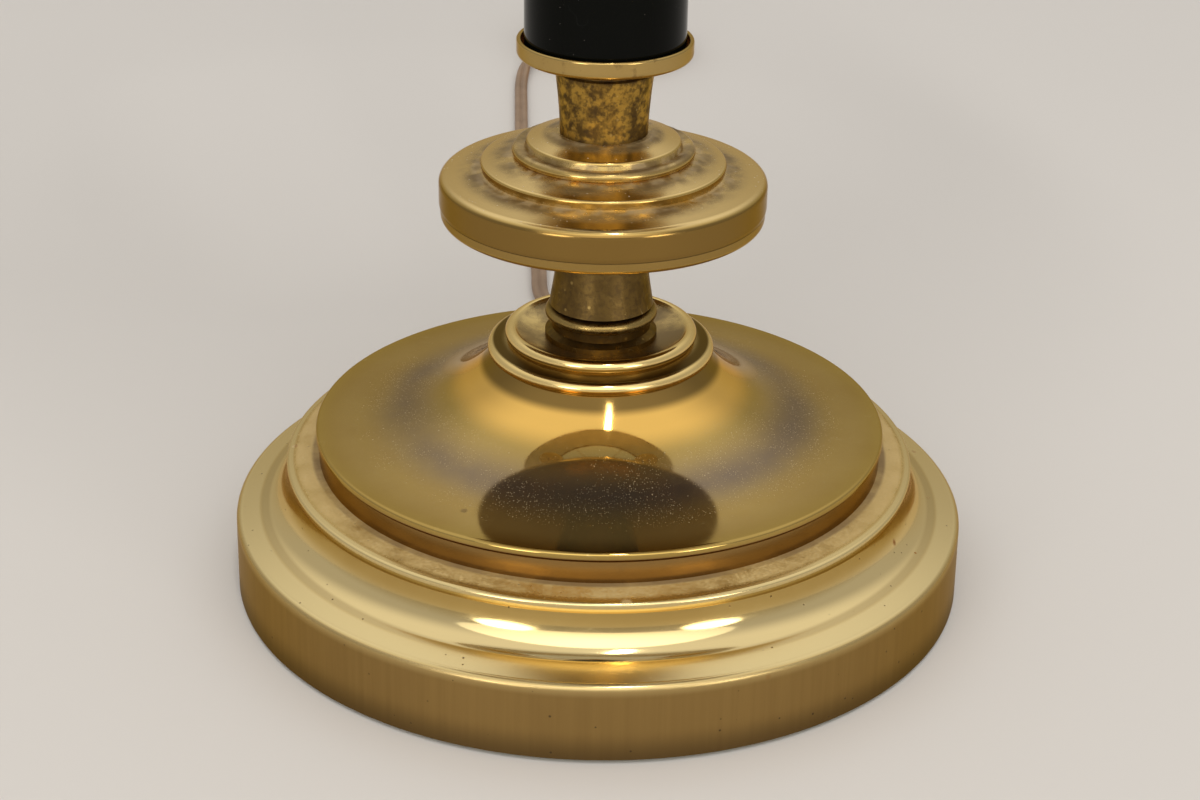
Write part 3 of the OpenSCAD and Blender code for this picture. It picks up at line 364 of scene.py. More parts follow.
class Layout:
    """Short ways to lay out the nodes of a material or of a group."""

    def __init__(self, tree):
        self.tree = tree

    def feed(self, socket, value):
        """Links a worked out value to a socket, or sets the socket to a number or a colour."""
        if isinstance(value, Value):
            self.tree.links.new(value.socket, socket)
        else:
            socket.default_value = value

    def put(self, kind, inputs=None, **settings):
        """Adds a node with its settings and inputs, and gives its outputs by number and by name."""
        node = self.tree.nodes.new(kind if kind.startswith("Node") else "ShaderNode" + kind)
        for key, value in settings.items():
            setattr(node, key, value)
        for key, value in (inputs or {}).items():
            self.feed(node.inputs[key], value)
        outputs = {}
        for number, socket in enumerate(node.outputs):
            outputs[number] = Value(self, socket)
            outputs[socket.name] = outputs[number]
        return outputs

    def math(self, operation, first, second=0.0):
        """What one operation makes of two numbers."""
        return self.put("Math", {0: first, 1: second}, operation=operation)[0]

    def vector(self, operation, first, second):
        """What one operation makes of two vectors."""
        return self.put("VectorMath", {0: first, 1: second}, operation=operation)[0]

    def joined(self, x, y, z):
        """A vector from three numbers."""
        return self.put("CombineXYZ", {0: x, 1: y, 2: z})[0]

    def split(self, vector):
        """The three numbers of a vector."""
        return self.put("SeparateXYZ", {0: vector})

    def step(self, value, start, end, low_value=0.0, high_value=1.0):
        """A smooth step from the low to the high value between start and end."""
        inputs = {0: value, 1: start, 2: end, 3: low_value, 4: high_value}
        return self.put("MapRange", inputs, interpolation_type="SMOOTHSTEP")[0]

    def blend(self, share, first, second):
        """A colour between two colours."""
        return self.put("Mix", {0: share, 6: first, 7: second}, data_type="RGBA")[2]

    def between(self, share, first, second):
        """A number between two numbers."""
        return self.put("Mix", {0: share, 2: first, 3: second}, data_type="FLOAT")[0]

    def noise(self, vector, scale, detail=2.0, roughness=0.5, distortion=0.0):
        """Cloudy noise from 0 to 1."""
        inputs = {"Vector": vector, "Scale": scale, "Detail": detail, "Roughness": roughness,
                  "Distortion": distortion}
        return self.put("TexNoise", inputs)[0]

    def place(self):
        """Where a point is on the object."""
        return self.put("TexCoord")["Object"]

    def group(self, name, **inputs):
        """One of the shared effects."""
        named = {key.capitalize(): value for key, value in inputs.items()}
        return self.put("Group", named, node_tree=bpy.data.node_groups[name])[0]

    def give(self, value):
        """Sets what a group puts out."""
        self.put("NodeGroupOutput", {0: value})


def new_group(name, output, **inputs):
    """A group with number inputs and one number output: its layout, and then its inputs."""
    tree = bpy.data.node_groups.new(name, "ShaderNodeTree")
    for key, value in inputs.items():
        socket = tree.interface.new_socket(key.capitalize(), in_out="INPUT", socket_type="NodeSocketFloat")
        socket.default_value = value
    tree.interface.new_socket(output, in_out="OUTPUT", socket_type="NodeSocketFloat")
    layout = Layout(tree)
    entry = layout.put("NodeGroupInput")
    return (layout, *(entry[number] for number in range(len(inputs))))


def make_groups():
    """The effects that several finishes share."""
    # Distance from the lamp's axis
    layout = new_group("axis distance", "Radius")[0]
    parts = layout.split(layout.place())
    layout.give(layout.math("SQRT", parts[0] * parts[0] + parts[1] * parts[1]))

    # Height over the table
    layout = new_group("height", "Height")[0]
    layout.give(layout.split(layout.place())[2])

    # A window on a value, soft at both ends
    layout, value, start, end, soft = new_group("zone", "Mask", value=0.0, start=0.0, end=1.0, soft=0.001)
    rise = layout.step(value, start - soft, start + soft)
    fall = layout.step(value, end - soft, end + soft, 1.0, 0.0)
    layout.give(rise * fall)

    # Cloudy patches; stretch below 1 draws them out upwards
    layout, scale, threshold, soft, detail, stretch, seed = new_group(
        "patches", "Mask", scale=60.0, threshold=0.5, soft=0.1, detail=4.0, stretch=1.0, seed=0.0)
    drawn_out = layout.vector("MULTIPLY", layout.place(), layout.joined(1.0, 1.0, stretch))
    spot = layout.vector("ADD", drawn_out, layout.joined(seed, seed, 0.0))
    cloud = layout.noise(spot, scale, detail, 0.58)
    layout.give(layout.step(cloud, threshold - soft, threshold + soft))

    # Small round specks of uneven size in a share of the cells
    layout, scale, size, share, seed = new_group(
        "specks", "Mask", scale=900.0, size=0.2, share=0.2, seed=0.0)
    spot = layout.vector("ADD", layout.place(), layout.joined(seed, 0.0, seed))
    cells = layout.put("TexVoronoi", {"Vector": spot, "Scale": scale})
    chance = layout.put("SeparateColor", {0: cells["Color"]})
    width = size * (chance[1] + 0.3)
    round_mask = layout.step(cells["Distance"], width * 0.5, width, 1.0, 0.0)
    layout.give(round_mask * layout.math("LESS_THAN", chance[0], share))

    # Fine rings that a lathe leaves, broken up a little round the axis
    layout, scale = new_group("turning lines", "Height", scale=1500.0)
    rings = layout.joined(layout.group("axis distance") * scale, layout.group("height") * scale, 0.0)
    drift = layout.vector("MULTIPLY", layout.place(), (25, 25, 0))
    layout.give(layout.noise(layout.vector("ADD", rings, drift), 1.0, 3.0, 0.6))

    # Curved hairline scratches, only in some patches
    layout, scale, width, share, seed = new_group(
        "hairlines", "Mask", scale=120.0, width=0.004, share=0.5, seed=0.0)
    spot = layout.vector("ADD", layout.place(), layout.joined(0.0, seed, seed))
    away = layout.math("ABSOLUTE", layout.noise(spot, scale, 1.0, 0.4, 1.5) - 0.5)
    line = layout.step(away, 0.0, width, 1.0, 0.0)
    limit = layout.math("SUBTRACT", 1.0, share)
    layout.give(line * layout.step(layout.noise(spot, scale * 0.7), limit, limit + 0.06))

    # How far a surface faces upwards
    layout, start, end = new_group("facing up", "Mask", start=0.5, end=0.95)
    upward = layout.split(layout.put("NewGeometry")["Normal"])[2]
    layout.give(layout.step(upward, start, end))


make_groups()


class Finish(Layout):
    """A material built up in layers of colour, roughness, metal and relief."""

    def __init__(self, name, colour, roughness, metal=0.0):
        self.material = bpy.data.materials.new(name)
        self.material.use_nodes = True
        super().__init__(self.material.node_tree)
        self.shader = self.tree.nodes["Principled BSDF"]
        self.colour = (*colour, 1.0)
        self.roughness = roughness
        self.metal = metal
        self.relief = None

    def ring(self, start, end, soft):
        """Where the distance from the axis lies between two radii, in millimetres."""
        return self.zone(self.group("axis distance"), start, end, soft)

    def band(self, start, end, soft=0.3):
        """Where the height lies between two heights, in millimetres."""
        return self.zone(self.group("height"), start, end, soft)

    def zone(self, value, start, end, soft):
        """A window on a value, in millimetres."""
        return self.group("zone", value=value, start=start * MM, end=end * MM, soft=soft * MM)

    def patches(self, scale, threshold=0.5, soft=0.1, detail=4.0, seed=0.0, stretch=1.0):
        """Cloudy patches, where noise of a scale and a detail passes a threshold softly."""
        return self.group("patches", scale=scale, threshold=threshold, soft=soft, detail=detail,
                          seed=seed, stretch=stretch)

    def specks(self, scale, size, share, seed=0.0):
        """Small round specks, in a share of the cells of a pattern."""
        return self.group("specks", scale=scale, size=size, share=share, seed=seed)

    def hairlines(self, scale, width, share, seed=0.0):
        """Fine curved scratches of a width, on a share of the surface."""
        return self.group("hairlines", scale=scale, width=width, share=share, seed=seed)

    def upward(self, start, end):
        """Where a surface faces upwards."""
        return self.group("facing up", start=start, end=end)

    def lay(self, mask, colour=None, roughness=None, metal=None):
        """Lays a colour, a roughness and a metal value over what is there, by a mask."""
        if colour is not None:
            shade = colour if isinstance(colour, Value) else (*colour, 1.0)
            self.colour = self.blend(mask, self.colour, shade)
        if roughness is not None:
            self.roughness = self.between(mask, self.roughness, roughness)
        if metal is not None:
            self.metal = self.between(mask, self.metal, metal)

    def dust(self, mask, amount, seed, colour=DUST):
        """Lays a thin film of dust with grains in it, by a mask and an amount."""
        grains = self.patches(1500, 0.5, 0.25, 4, seed)
        self.lay(mask * (grains * 0.5 + 0.5) * amount, colour, 0.75, 0.1)

    def raise_by(self, value, amount):
        """Adds a value times an amount in millimetres to the relief."""
        part = value * (amount * MM)
        self.relief = self.relief + part if self.relief else part

    def grain(self, amount, scale, detail=2.0, roughness=0.5):
        """Adds cloudy noise times an amount in millimetres to the relief."""
        self.raise_by(self.noise(self.place(), scale, detail, roughness), amount)

    def close(self, **sockets):
        """Feeds the layers to the shader and sets its other sockets."""
        self.feed(self.shader.inputs["Base Color"], self.colour)
        self.feed(self.shader.inputs["Roughness"], self.roughness)
        self.feed(self.shader.inputs["Metallic"], self.metal)
        if self.relief:
            bump = self.put("Bump", {"Strength": 1.0, "Distance": 1.0, "Height": self.relief})
            self.feed(self.shader.inputs["Normal"], bump[0])
        for key, value in sockets.items():
            self.shader.inputs[key.replace("_", " ")].default_value = value
        return self.material


# ---- Brass finishes ----

def brass(name, colour, roughness, wave=0.01, smear=0.10):
    """Polished brass with uneven colour, faint turning lines, hairlines and a slight waviness."""
    finish = Finish(name, colour, roughness, 1.0)
    finish.shader.inputs["Specular Tint"].default_value = (0.78, 0.64, 0.44, 1.0)
    darker = tuple(part * share for part, share in zip(colour, (0.80, 0.72, 0.58)))
    finish.lay(finish.patches(38, soft=0.2) * 0.35, darker)
    finish.lay(finish.patches(85, 0.52, 0.14, 6, 3.1), roughness=roughness + smear)
    finish.lay(finish.hairlines(90, 0.003, 0.52, 1.7) * 0.35, PALE_GOLD, roughness + 0.2)
    finish.grain(wave, 45, 1.0)
    finish.raise_by(finish.group("turning lines"), 0.0015)
    return finish


def plinth_finish():
    """Rim, cove and shoulder painted paler and the satin wall painted brown, darker still to its foot, as
    painted reflection, highlight and shade; a dusty ledge.
    """
    finish = brass("plinth brass", GOLD, 0.09)
    height = finish.group("height")
    # Painted reflection: the upright wall is painted a streaked darker brown for the dark surround it
    # mirrors
    wall = finish.ring(FOOT_R - 0.45, FOOT_R + 5, 0.25) * finish.band(0, Z_RIM - 0.5, 0.25)
    streaks = finish.patches(500, 0.5, 0.3, 6, stretch=0.03)
    finish.lay(wall, finish.blend(streaks * 0.35, (0.31, 0.195, 0.065, 1), (0.20, 0.12, 0.04, 1)), 0.38)
    # Painted highlight: a paler band just under the wall's rounded top edge
    painted_edge_highlight = wall * finish.step(height, (Z_RIM - 3.2) * MM, (Z_RIM - 1) * MM)
    finish.lay(painted_edge_highlight * 0.6, (0.56, 0.41, 0.17), 0.3)
    # Painted shade: the wall darkens towards the table
    painted_foot_shade = wall * finish.step(height, 9 * MM, 1 * MM)
    finish.lay(painted_foot_shade * 0.6, DARK_BROWN, 0.42)
    # Satin rim; its paler colour is a painted reflection of the bright surround
    rim = finish.ring(RIM_IN + 0.6, FOOT_R - 0.5, 0.7) * finish.band(Z_RIM - 0.8, Z_RIM + 3, 0.4)
    finish.lay(rim * 0.95, (0.77, 0.61, 0.30), 0.2)
    # Polished cove; its pale colour is a painted reflection of the bright lights it faces
    cove = finish.ring(COVE_IN + 0.8, RIM_IN + 0.6, 0.7) * finish.band(Z_RIM, Z_SEAT)
    finish.lay(cove * 0.85, (0.80, 0.63, 0.31), 0.085)
    # Painted shade in the crease at the cove's foot
    fold_shade = finish.ring(RIM_IN - 1.5, RIM_IN + 0.5, 0.5) * finish.band(Z_RIM - 1, Z_RIM + 1.9, 0.4)
    finish.lay(fold_shade * 0.3, (0.20, 0.13, 0.045), 0.25)
    spots = finish.specks(160, 0.22, 0.10, 4.0)
    finish.lay(spots * finish.band(8, Z_SEAT), ORANGE_SPOT, 0.5, 0.6)
    pits = finish.specks(520, 0.16, 0.16, 9.0)
    finish.lay(pits * 0.8, DARK_BROWN, 0.5, 0.7)
    finish.raise_by(pits, -0.03)
    # Painted highlight: a paler band on the rounded shoulder
    shoulder = finish.ring(COVE_IN - 1.4, COVE_IN + 0.6, 0.4) * finish.band(Z_COVE_TOP + 0.4, Z_SEAT, 0.3)
    finish.lay(shoulder * 0.8, (0.76, 0.60, 0.29), 0.18)
    ledge = finish.ring(DOME_R - 3, COVE_IN - 1.9, 0.9) * finish.band(Z_SHOULDER - 0.5, Z_SEAT + 1, 0.3)
    drift = finish.patches(120, 0.40, 0.2, 5, 4.0)
    finish.dust(ledge * finish.between(drift, 0.25, 1.0), 0.9, 2.0, (0.62, 0.455, 0.20))
    finish.lay(ledge * finish.specks(1700, 0.34, 0.5, 7.0) * 0.7, (0.60, 0.46, 0.24), 0.7, 0.3)
    crud = finish.ring(DOME_R - 3, DOME_R + 1.1, 0.5) * finish.patches(55, 0.46, 0.16, 8, 5.0)
    finish.lay(crud * 0.75, (0.16, 0.10, 0.05), 0.8, 0.0)
    return finish.close()


def dome_finish():
    """A tarnished ring round the flare and dust specks, with a painted glow in the middle, painted shade
    round the cap, and the wall under the lip painted dark as painted reflection.
    """
    finish = brass("dome brass", (0.46, 0.315, 0.09), 0.04, smear=0.04)
    # Painted reflection: the upright wall under the lip is painted a darker brown
    finish.lay(finish.band(0, Z_LIP - 1.4), (0.29, 0.175, 0.06), 0.24)
    cloud = finish.patches(30, 0.46, 0.22, 5, 6.0)
    tarnished = finish.ring(42, 53, 6) * finish.band(Z_LIP - 2, 90)
    finish.lay(tarnished * (cloud * 0.45 + 0.5), TARNISH, 0.1)
    # Painted highlight: a bright orange gold over the middle of the flare, for the glow round the glint
    finish.lay(finish.ring(0, 35, 3), (0.83, 0.50, 0.12))
    # Painted shade: a dark ring on the flare round the cap's foot
    finish.lay(finish.ring(0, CAP_R + 1.6, 0.9) * 0.85, (0.13, 0.08, 0.025), 0.1)
    outer = finish.ring(54, 67, 2) * finish.band(Z_LIP - 2, 90)
    finish.lay(outer * (finish.patches(24, 0.5, 0.25, 6, 2.0) * 0.4), DEEP_GOLD, 0.13)
    near = finish.ring(36, 60, 7) * finish.band(Z_LIP - 1, 90)
    drift = finish.patches(70, 0.42, 0.2, 4, 9.0)
    finish.lay(finish.specks(2300, 0.30, 0.75, 1.0) * near * drift * 0.7, (0.66, 0.50, 0.27), 0.6, 0.6)
    finish.lay(finish.specks(1000, 0.16, 0.35, 5.0) * near * 0.8, (0.66, 0.52, 0.32), 0.6, 0.5)
    finish.lay(finish.hairlines(330, 0.008, 0.47, 8.0) * near * drift * 0.4, (0.60, 0.46, 0.26), 0.5, 0.6)
    finish.lay(finish.specks(200, 0.2, 0.04, 3.0) * 0.5, BROWN_GOLD, 0.5, 0.6)
    film = finish.ring(38, 66, 5) * finish.band(Z_LIP - 1, 90)
    finish.lay(film * 0.14, DUST, metal=0.0)
    return finish.close()


def cap_finish():
    """Bright beads round a dished top that has gone grey and dark."""
    finish = brass("cap brass", (0.83, 0.62, 0.26), 0.13)
    dish = finish.ring(12, 20.2, 0.6) * finish.band(Z_NECK - 1, 80)
    finish.lay(dish * (finish.patches(120, 0.42, 0.2, 5, 5.0) * 0.85), (0.22, 0.165, 0.11), 0.4)
    # Painted shade: the groove between the beads is painted near black
    groove = finish.ring(20, CAP_R - 1.2, 0.4) * finish.band(Z_DOME_TOP + 1.6, Z_DOME_TOP + 3.9, 0.4)
    finish.lay(groove * 0.95, (0.07, 0.042, 0.016), 0.3)
    return finish.close()


def neck_finish(name, colour, dark, threshold, depth, seed):
    """Brass that was never polished: mottled patina over a dull gold."""
    finish = brass(name, colour, 0.27, 0.02)
    coarse = finish.patches(330, threshold, 0.11, 8, seed)
    finish.lay(coarse * depth, dark, 0.42)
    finish.lay(finish.patches(900, 0.55, 0.08, 4, seed + 2) * (0.7 * depth), DARK_BROWN, 0.5, 0.8)
    finish.lay(finish.specks(700, 0.28, 0.2, seed + 4) * 0.4, GOLD, 0.25)
    finish.lay(finish.specks(150, 0.2, 0.12, seed + 5) * depth, DARK_BROWN, 0.6, 0.5)
    finish.raise_by(coarse, -0.02)
    return finish


def upper_neck_finish():
    """Strongly mottled, with painted shade under the ferrule, and darker where it meets the knop."""
    finish = neck_finish("upper neck brass", (0.44, 0.27, 0.055), (0.08, 0.048, 0.018), 0.51, 0.9, 1.0)
    # Painted shade under the ferrule's overhang
    finish.lay(finish.band(Z_FERRULE - 3.4, Z_FERRULE + 1, 0.7) * 0.75, DARK_BROWN, 0.5)
    finish.lay(finish.band(0, Z_KNOP_TOP + 0.7, 0.4) * 0.6, DARK_BROWN, 0.5)
    return finish.close()


def lower_neck_finish():
    """Brownish, with gold left on the bead."""
    finish = neck_finish("lower neck brass", (0.15, 0.093, 0.028), (0.07, 0.042, 0.015), 0.5, 0.5, 7.0)
    finish.lay(finish.band(Z_NECK + 4.8, Z_NECK + 7.6, 0.4) * 0.4, GOLD, 0.2)
    return finish.close()


def knop_finish():
    """Tops painted pale as painted light, the upright wall and the underside painted dark as painted
    reflection and shade, and stains and dust left in the corners of the steps.
    """
    finish = brass("knop brass", GOLD, 0.13)
    # Painted light: faces that look upwards are painted paler
    tops = finish.upward(0.6, 0.9) * finish.band(Z_TIER_1 - 1, 200)
    finish.lay(tops * 0.75, (0.82, 0.61, 0.285), 0.2)
    # Painted reflection: the upright wall is painted a darker brown
    wall = finish.ring(KNOP_R - 0.35, KNOP_R + 1, 0.2) * finish.band(0, Z_TIER_1 - 0.8)
    finish.lay(wall, (0.25, 0.15, 0.04), 0.18)
    # Painted shade: the underside of the knop is painted dark
    finish.lay(finish.band(0, Z_PLATE + 0.4), (0.19, 0.12, 0.04), 0.32)
    finish.lay(finish.band(Z_SEAM - 0.1, Z_SEAM + 0.15, 0.12) * 0.8, DARK_BROWN, 0.5)
    grime = finish.patches(240, 0.53, 0.12, 6, 8.0)
    stain = finish.patches(130, 0.45, 0.2, 8, 3.0)
    for edge, level in ((TIER_2_R, Z_TIER_1 + 0.5), (TIER_3_R, Z_TIER_2 + 0.6),
                        (TOP_TIER_R, Z_TIER_3 + 0.2), (KNOP_TOP_R, Z_KNOP_TOP + 0.3)):
        around = finish.ring(edge - 1, edge + 4.2, 2.2) * finish.band(level - 1, level + 0.7)
        finish.lay(around * stain * 0.88, (0.125, 0.077, 0.034), 0.35, 0.6)
    for edge, level in ((TIER_2_R, Z_TIER_1 + 0.9), (TIER_3_R, Z_TIER_2 + 1.2),
                        (TOP_TIER_R, Z_TIER_3), (STEM_R, Z_KNOP_TOP)):
        corner = finish.ring(edge - 0.4, edge + 1.8, 0.8) * finish.band(level - 1.2, level + 0.9, 0.4)
        finish.dust(corner * grime, 0.8, edge)
    finish.lay(finish.specks(1400, 0.24, 0.12, 2.0) * (tops * 0.7), (0.62, 0.55, 0.45), 0.7, 0.2)
    return finish.close()


def plain_brass_finish():
    """The polished brass of the arms, the hub and the shade's fittings."""
    finish = brass("polished brass", GOLD, 0.15)
    finish.lay(finish.specks(500, 0.14, 0.1, 5.0) * 0.6, DARK_BROWN, 0.5, 0.8)
    finish.dust(finish.upward(0.9, 1.0), 0.18, 3.0)
    return finish.close()


def ferrule_finish():
    """Pale brass with a bright mouth and a few dark marks."""
    finish = brass("ferrule brass", (0.46, 0.32, 0.115), 0.11)
    finish.lay(finish.patches(260, 0.62, 0.07, 6, 4.0) * 0.6, BROWN_GOLD, 0.35)
    return finish.close()


# ---- Other finishes ----

def lacquer_finish():
    """Gloss black lacquer with fine dust and faint polishing marks."""
    finish = Finish("column lacquer", (0.002, 0.0022, 0.0015), 0.05)
    finish.lay(finish.hairlines(70, 0.003, 0.5, 2.0) * 0.4, (0.02, 0.022, 0.02), 0.25)
    finish.lay(finish.specks(1300, 0.17, 0.03, 6.0) * 0.35, (0.20, 0.18, 0.15), 0.6)
    finish.grain(0.01, 60, 1.0)
    return finish.close(Specular_IOR_Level=0.06)


def shade_paint(name, colour, roughness, seed, gloss):
    """Sprayed paint on sheet metal: slight orange peel, dust and a few rubbed marks."""
    finish = Finish(name, colour, roughness)
    worn = tuple(min(part * 1.4 + 0.004, 0.95) for part in colour)
    finish.lay(finish.patches(20, soft=0.2, seed=seed) * 0.35, worn)
    finish.lay(finish.hairlines(30, 0.002, 0.5, seed) * 0.3, worn, roughness + 0.15)
    finish.grain(0.012, 420)
    finish.grain(0.12, 14, 1.0)
    return finish.close(Specular_IOR_Level=gloss)


def coated(name, look, patches, patch_look, grain=None, **sockets):
    """A finish with cloudy patches over it and, where it has one, a grain. The look and the
    patches' own look are a colour, a roughness and a metal value."""
    finish = Finish(name, *look)
    finish.lay(finish.patches(*patches), *patch_look)
    if grain:
        finish.grain(*grain)
    return finish.close(**sockets)


def steel_finish():
    """Zinc plated steel with a dull spangle and faint turning lines."""
    finish = Finish("zinc steel", (0.58, 0.59, 0.60), 0.32, 1.0)
    finish.lay(finish.patches(240, soft=0.15, detail=5), (0.44, 0.45, 0.47), 0.42)
    finish.lay(finish.patches(120, 0.64, 0.06, 6, 4.0), (0.30, 0.24, 0.17), 0.6, 0.6)
    finish.raise_by(finish.group("turning lines", scale=3000), 0.004)
    return finish.close()


def contact_finish():
    """Bright rolled brass of the caps, the screw shells and the plug's blades."""
    finish = Finish("contact brass", (0.72, 0.58, 0.30), 0.24, 1.0)
    finish.lay(finish.patches(300, 0.55, 0.1, 5), (0.50, 0.36, 0.16), 0.34)
    finish.lay(finish.hairlines(260, 0.004, 0.55), (0.8, 0.7, 0.45), 0.4)
    return finish.close()


def ivory_finish():
    """Ivory fibre sleeve, a little yellowed towards its top where the lamp warms it."""
    finish = Finish("candle ivory", (0.82, 0.75, 0.56), 0.45)
    warm = finish.step(finish.group("height"), (Z_SLEEVE_TOP - 22) * MM, Z_SLEEVE_TOP * MM)
    finish.lay(warm * 0.5, (0.66, 0.50, 0.27), 0.5)
    finish.lay(finish.patches(160, detail=6) * 0.25, (0.70, 0.60, 0.40))
    finish.grain(0.02, 900, 3.0)
    return finish.close(Subsurface_Weight=0.15, Subsurface_Radius=(0.004, 0.003, 0.002))


def lead_finish():
    """Tan vinyl, slightly uneven and dusty."""
    finish = Finish("lead vinyl", (0.27, 0.155, 0.08), 0.42)
    finish.lay(finish.patches(110, soft=0.2, detail=5), (0.20, 0.115, 0.06), 0.5)
    finish.dust(finish.upward(0.5, 1.0), 0.25, 1.0)
    finish.grain(0.02, 1300)
    return finish.close()


def glass_finish():
    """Clear lamp glass with a trace of dust."""
    finish = Finish("lamp glass", (1.0, 1.0, 1.0), 0.03)
    finish.lay(finish.specks(900, 0.18, 0.08), (0.85, 0.84, 0.8), 0.3)
    return finish.close(Transmission_Weight=1.0, IOR=1.47)


PLINTH = plinth_finish()
DOME = dome_finish()
CAP = cap_finish()
LOWER_NECK = lower_neck_finish()
UPPER_NECK = upper_neck_finish()
KNOP = knop_finish()
FERRULE = ferrule_finish()
BRASS = plain_brass_finish()
LACQUER = lacquer_finish()
SHADE_OUTSIDE = shade_paint("shade black", (0.005, 0.0065, 0.005), 0.3, 0.0, 0.25)
SHADE_INSIDE = shade_paint("shade cream", (0.60, 0.53, 0.40), 0.5, 4.0, 0.5)
STEEL = steel_finish()
CONTACT = contact_finish()
IVORY = ivory_finish()
LEAD = lead_finish()
GLASS = glass_finish()

# Green baize: short matted fibres
FELT = coated("felt", ((0.05, 0.12, 0.065), 0.95), (900, 0.5, 0.25, 5), ((0.10, 0.19, 0.11),),
              (0.12, 2600, 3.0, 0.7), Sheen_Weight=0.4, Sheen_Roughness=0.5)

# A rough casting with rust in patches
IRON = coated("cast iron", ((0.07, 0.07, 0.072), 0.62, 0.7), (70, 0.56, 0.12, 7),
              ((0.16, 0.06, 0.025), 0.85, 0.1), (0.18, 700, 5.0, 0.65))

# Black moulded plastic with a fine grain, and dull black rubber
MOULDED = coated("moulded black", ((0.018, 0.017, 0.017), 0.34), (180, 0.55, 0.15, 5),
                 ((0.035, 0.033, 0.031), 0.48), (0.02, 1800, 3.0))
RUBBER = coated("relief rubber", ((0.022, 0.021, 0.020), 0.6), (400, 0.5, 0.2, 5),
                ((0.05, 0.047, 0.043), 0.75), (0.03, 1500, 3.0))

# Cream sleeving on the wires inside
SLEEVING = coated("wire sleeving", ((0.62, 0.56, 0.42), 0.5), (500,), ((0.48, 0.42, 0.30), 0.6))

# The lamp's glass stem, with warmer cloudy patches
STEM_GLASS = coated("lamp stem", ((0.92, 0.93, 0.90), 0.08), (400, 0.55), ((0.75, 0.72, 0.62), 0.2),
                    Transmission_Weight=0.7, IOR=1.5)


# ---- Lead ----

LEAD_W = 5.1
LEAD_T = 2.6
COIL_CENTRE = (0.0, 444.0)
COIL_TURNS = 8.639
COIL_R = 32.0
TURN_PITCH = LEAD_T + 0.1
Z_LAYER = (3.4, 8.6)

# The same points as the source's routes: from the strain relief to the coil, and from the coil
# into the plug
RUN_POINTS = [
    [0, 112.5, 7.5], [0, 119, 7.2], [-1, 126, 6.4], [-3.8, 134, 4.9], [-8, 143, 3.2],
    [-12.8, 152, 2], [-17, 161, 1.4], [-19.6, 171, 1.3], [-20.4, 182, 1.3], [-21, 194, 1.3],
    [-21.7, 206, 1.3], [-22.6, 218, 1.3], [-23.7, 230, 1.3], [-24.9, 242, 1.3],
    [-26.1, 254, 1.3], [-27.3, 266, 1.3], [-28.5, 278, 1.3], [-29.5, 290, 1.3],
    [-30.4, 302, 1.3], [-31.2, 314, 1.3], [-31.8, 326, 1.3], [-32.3, 338, 1.3],
    [-32.8, 350, 1.3], [-33.3, 362, 1.3], [-33.8, 374, 1.3], [-34.3, 386, 1.3],
    [-34.5, 398, 1.4], [-34.1, 410, 1.9], [-33.2, 422, 2.7], [-32.3, 434, 3.4]]
TAIL_POINTS = [
    [19.1, 418.4, 11.2], [14.3, 415.9, 12.3], [7.1, 414.6, 12.5], [-0.1, 415.9, 12.5],
    [-6.4, 419.5, 12.5], [-11.1, 425.1, 12.7], [-13.5, 431.5, 13.8], [-13.9, 438, 15.6],
    [-13.9, 444.5, 16.7], [-13.9, 448.5, 16.7]]


def eased(share):
    """A share from 0 to 1 with a soft start and a soft end: 3 s squared minus 2 s cubed."""
    share = np.clip(share, 0, 1)
    return share ** 2 * (3 - 2 * share)


def coil_points():
    """Turns on edge: the radius shrinks by one pitch a turn to the middle of the count and grows
    again in the layer above, and the last part climbs on top."""
    turn = np.linspace(0, COIL_TURNS, int(COIL_TURNS * 24))[2:-1]
    radius = COIL_R - TURN_PITCH * np.minimum(turn, COIL_TURNS - turn)
    last_turns = 0.16
    last_rise = 2.4
    leave = np.clip((turn - COIL_TURNS + last_turns) / last_turns, 0, 1)
    height = Z_LAYER[0] + (Z_LAYER[1] - Z_LAYER[0]) * eased((turn - COIL_TURNS / 2 + 0.25) / 0.5)
    height = height + last_rise * leave ** 2
    angle = math.pi - 2 * math.pi * turn
    return np.column_stack((COIL_CENTRE[0] + radius * np.cos(angle),
                            COIL_CENTRE[1] + radius * np.sin(angle), height))


def twin_section():
    """Two round lobes side by side that meet in a groove, as in flat twin lead."""
    lobe_r = LEAD_T / 2
    right = arc(LEAD_W / 2 - lobe_r, 0, lobe_r, -150, 150)
    return np.vstack((right, -right))


def make_lead():
    """The lead from the strain relief, over the table, round its coil and into the plug."""
    coil = coil_points()
    path = smooth_path(np.vstack((RUN_POINTS, coil, TAIL_POINTS)), 2.0)
    heading = unit(np.gradient(path, axis=0))
    flat = unit(np.cross(heading, [0.0, 0.0, 1.0]))
    upright = unit(np.cross(flat, heading))
    along = np.r_[0, np.cumsum(np.linalg.norm(np.diff(path, axis=0), axis=1))]
    run_end, coil_end = (along[np.argmin(np.linalg.norm(path - end, axis=1))]
                         for end in (RUN_POINTS[-1], coil[-1]))
    roll_on = 30
    roll_off = 26
    onto_edge = eased((along - run_end + roll_on) / roll_on)
    off_edge = eased((along - coil_end + 6) / roll_off)
    twist = ((onto_edge - off_edge) * math.pi / 2)[:, None]
    across = np.cos(twist) * flat + np.sin(twist) * upright
    made = piece("lead", [swept(path, twin_section(), across)], LEAD, "lamp",
                 ("cord_run", "cord_coil", "cord_tail"), crease=60)
    return made, path, along[-1]


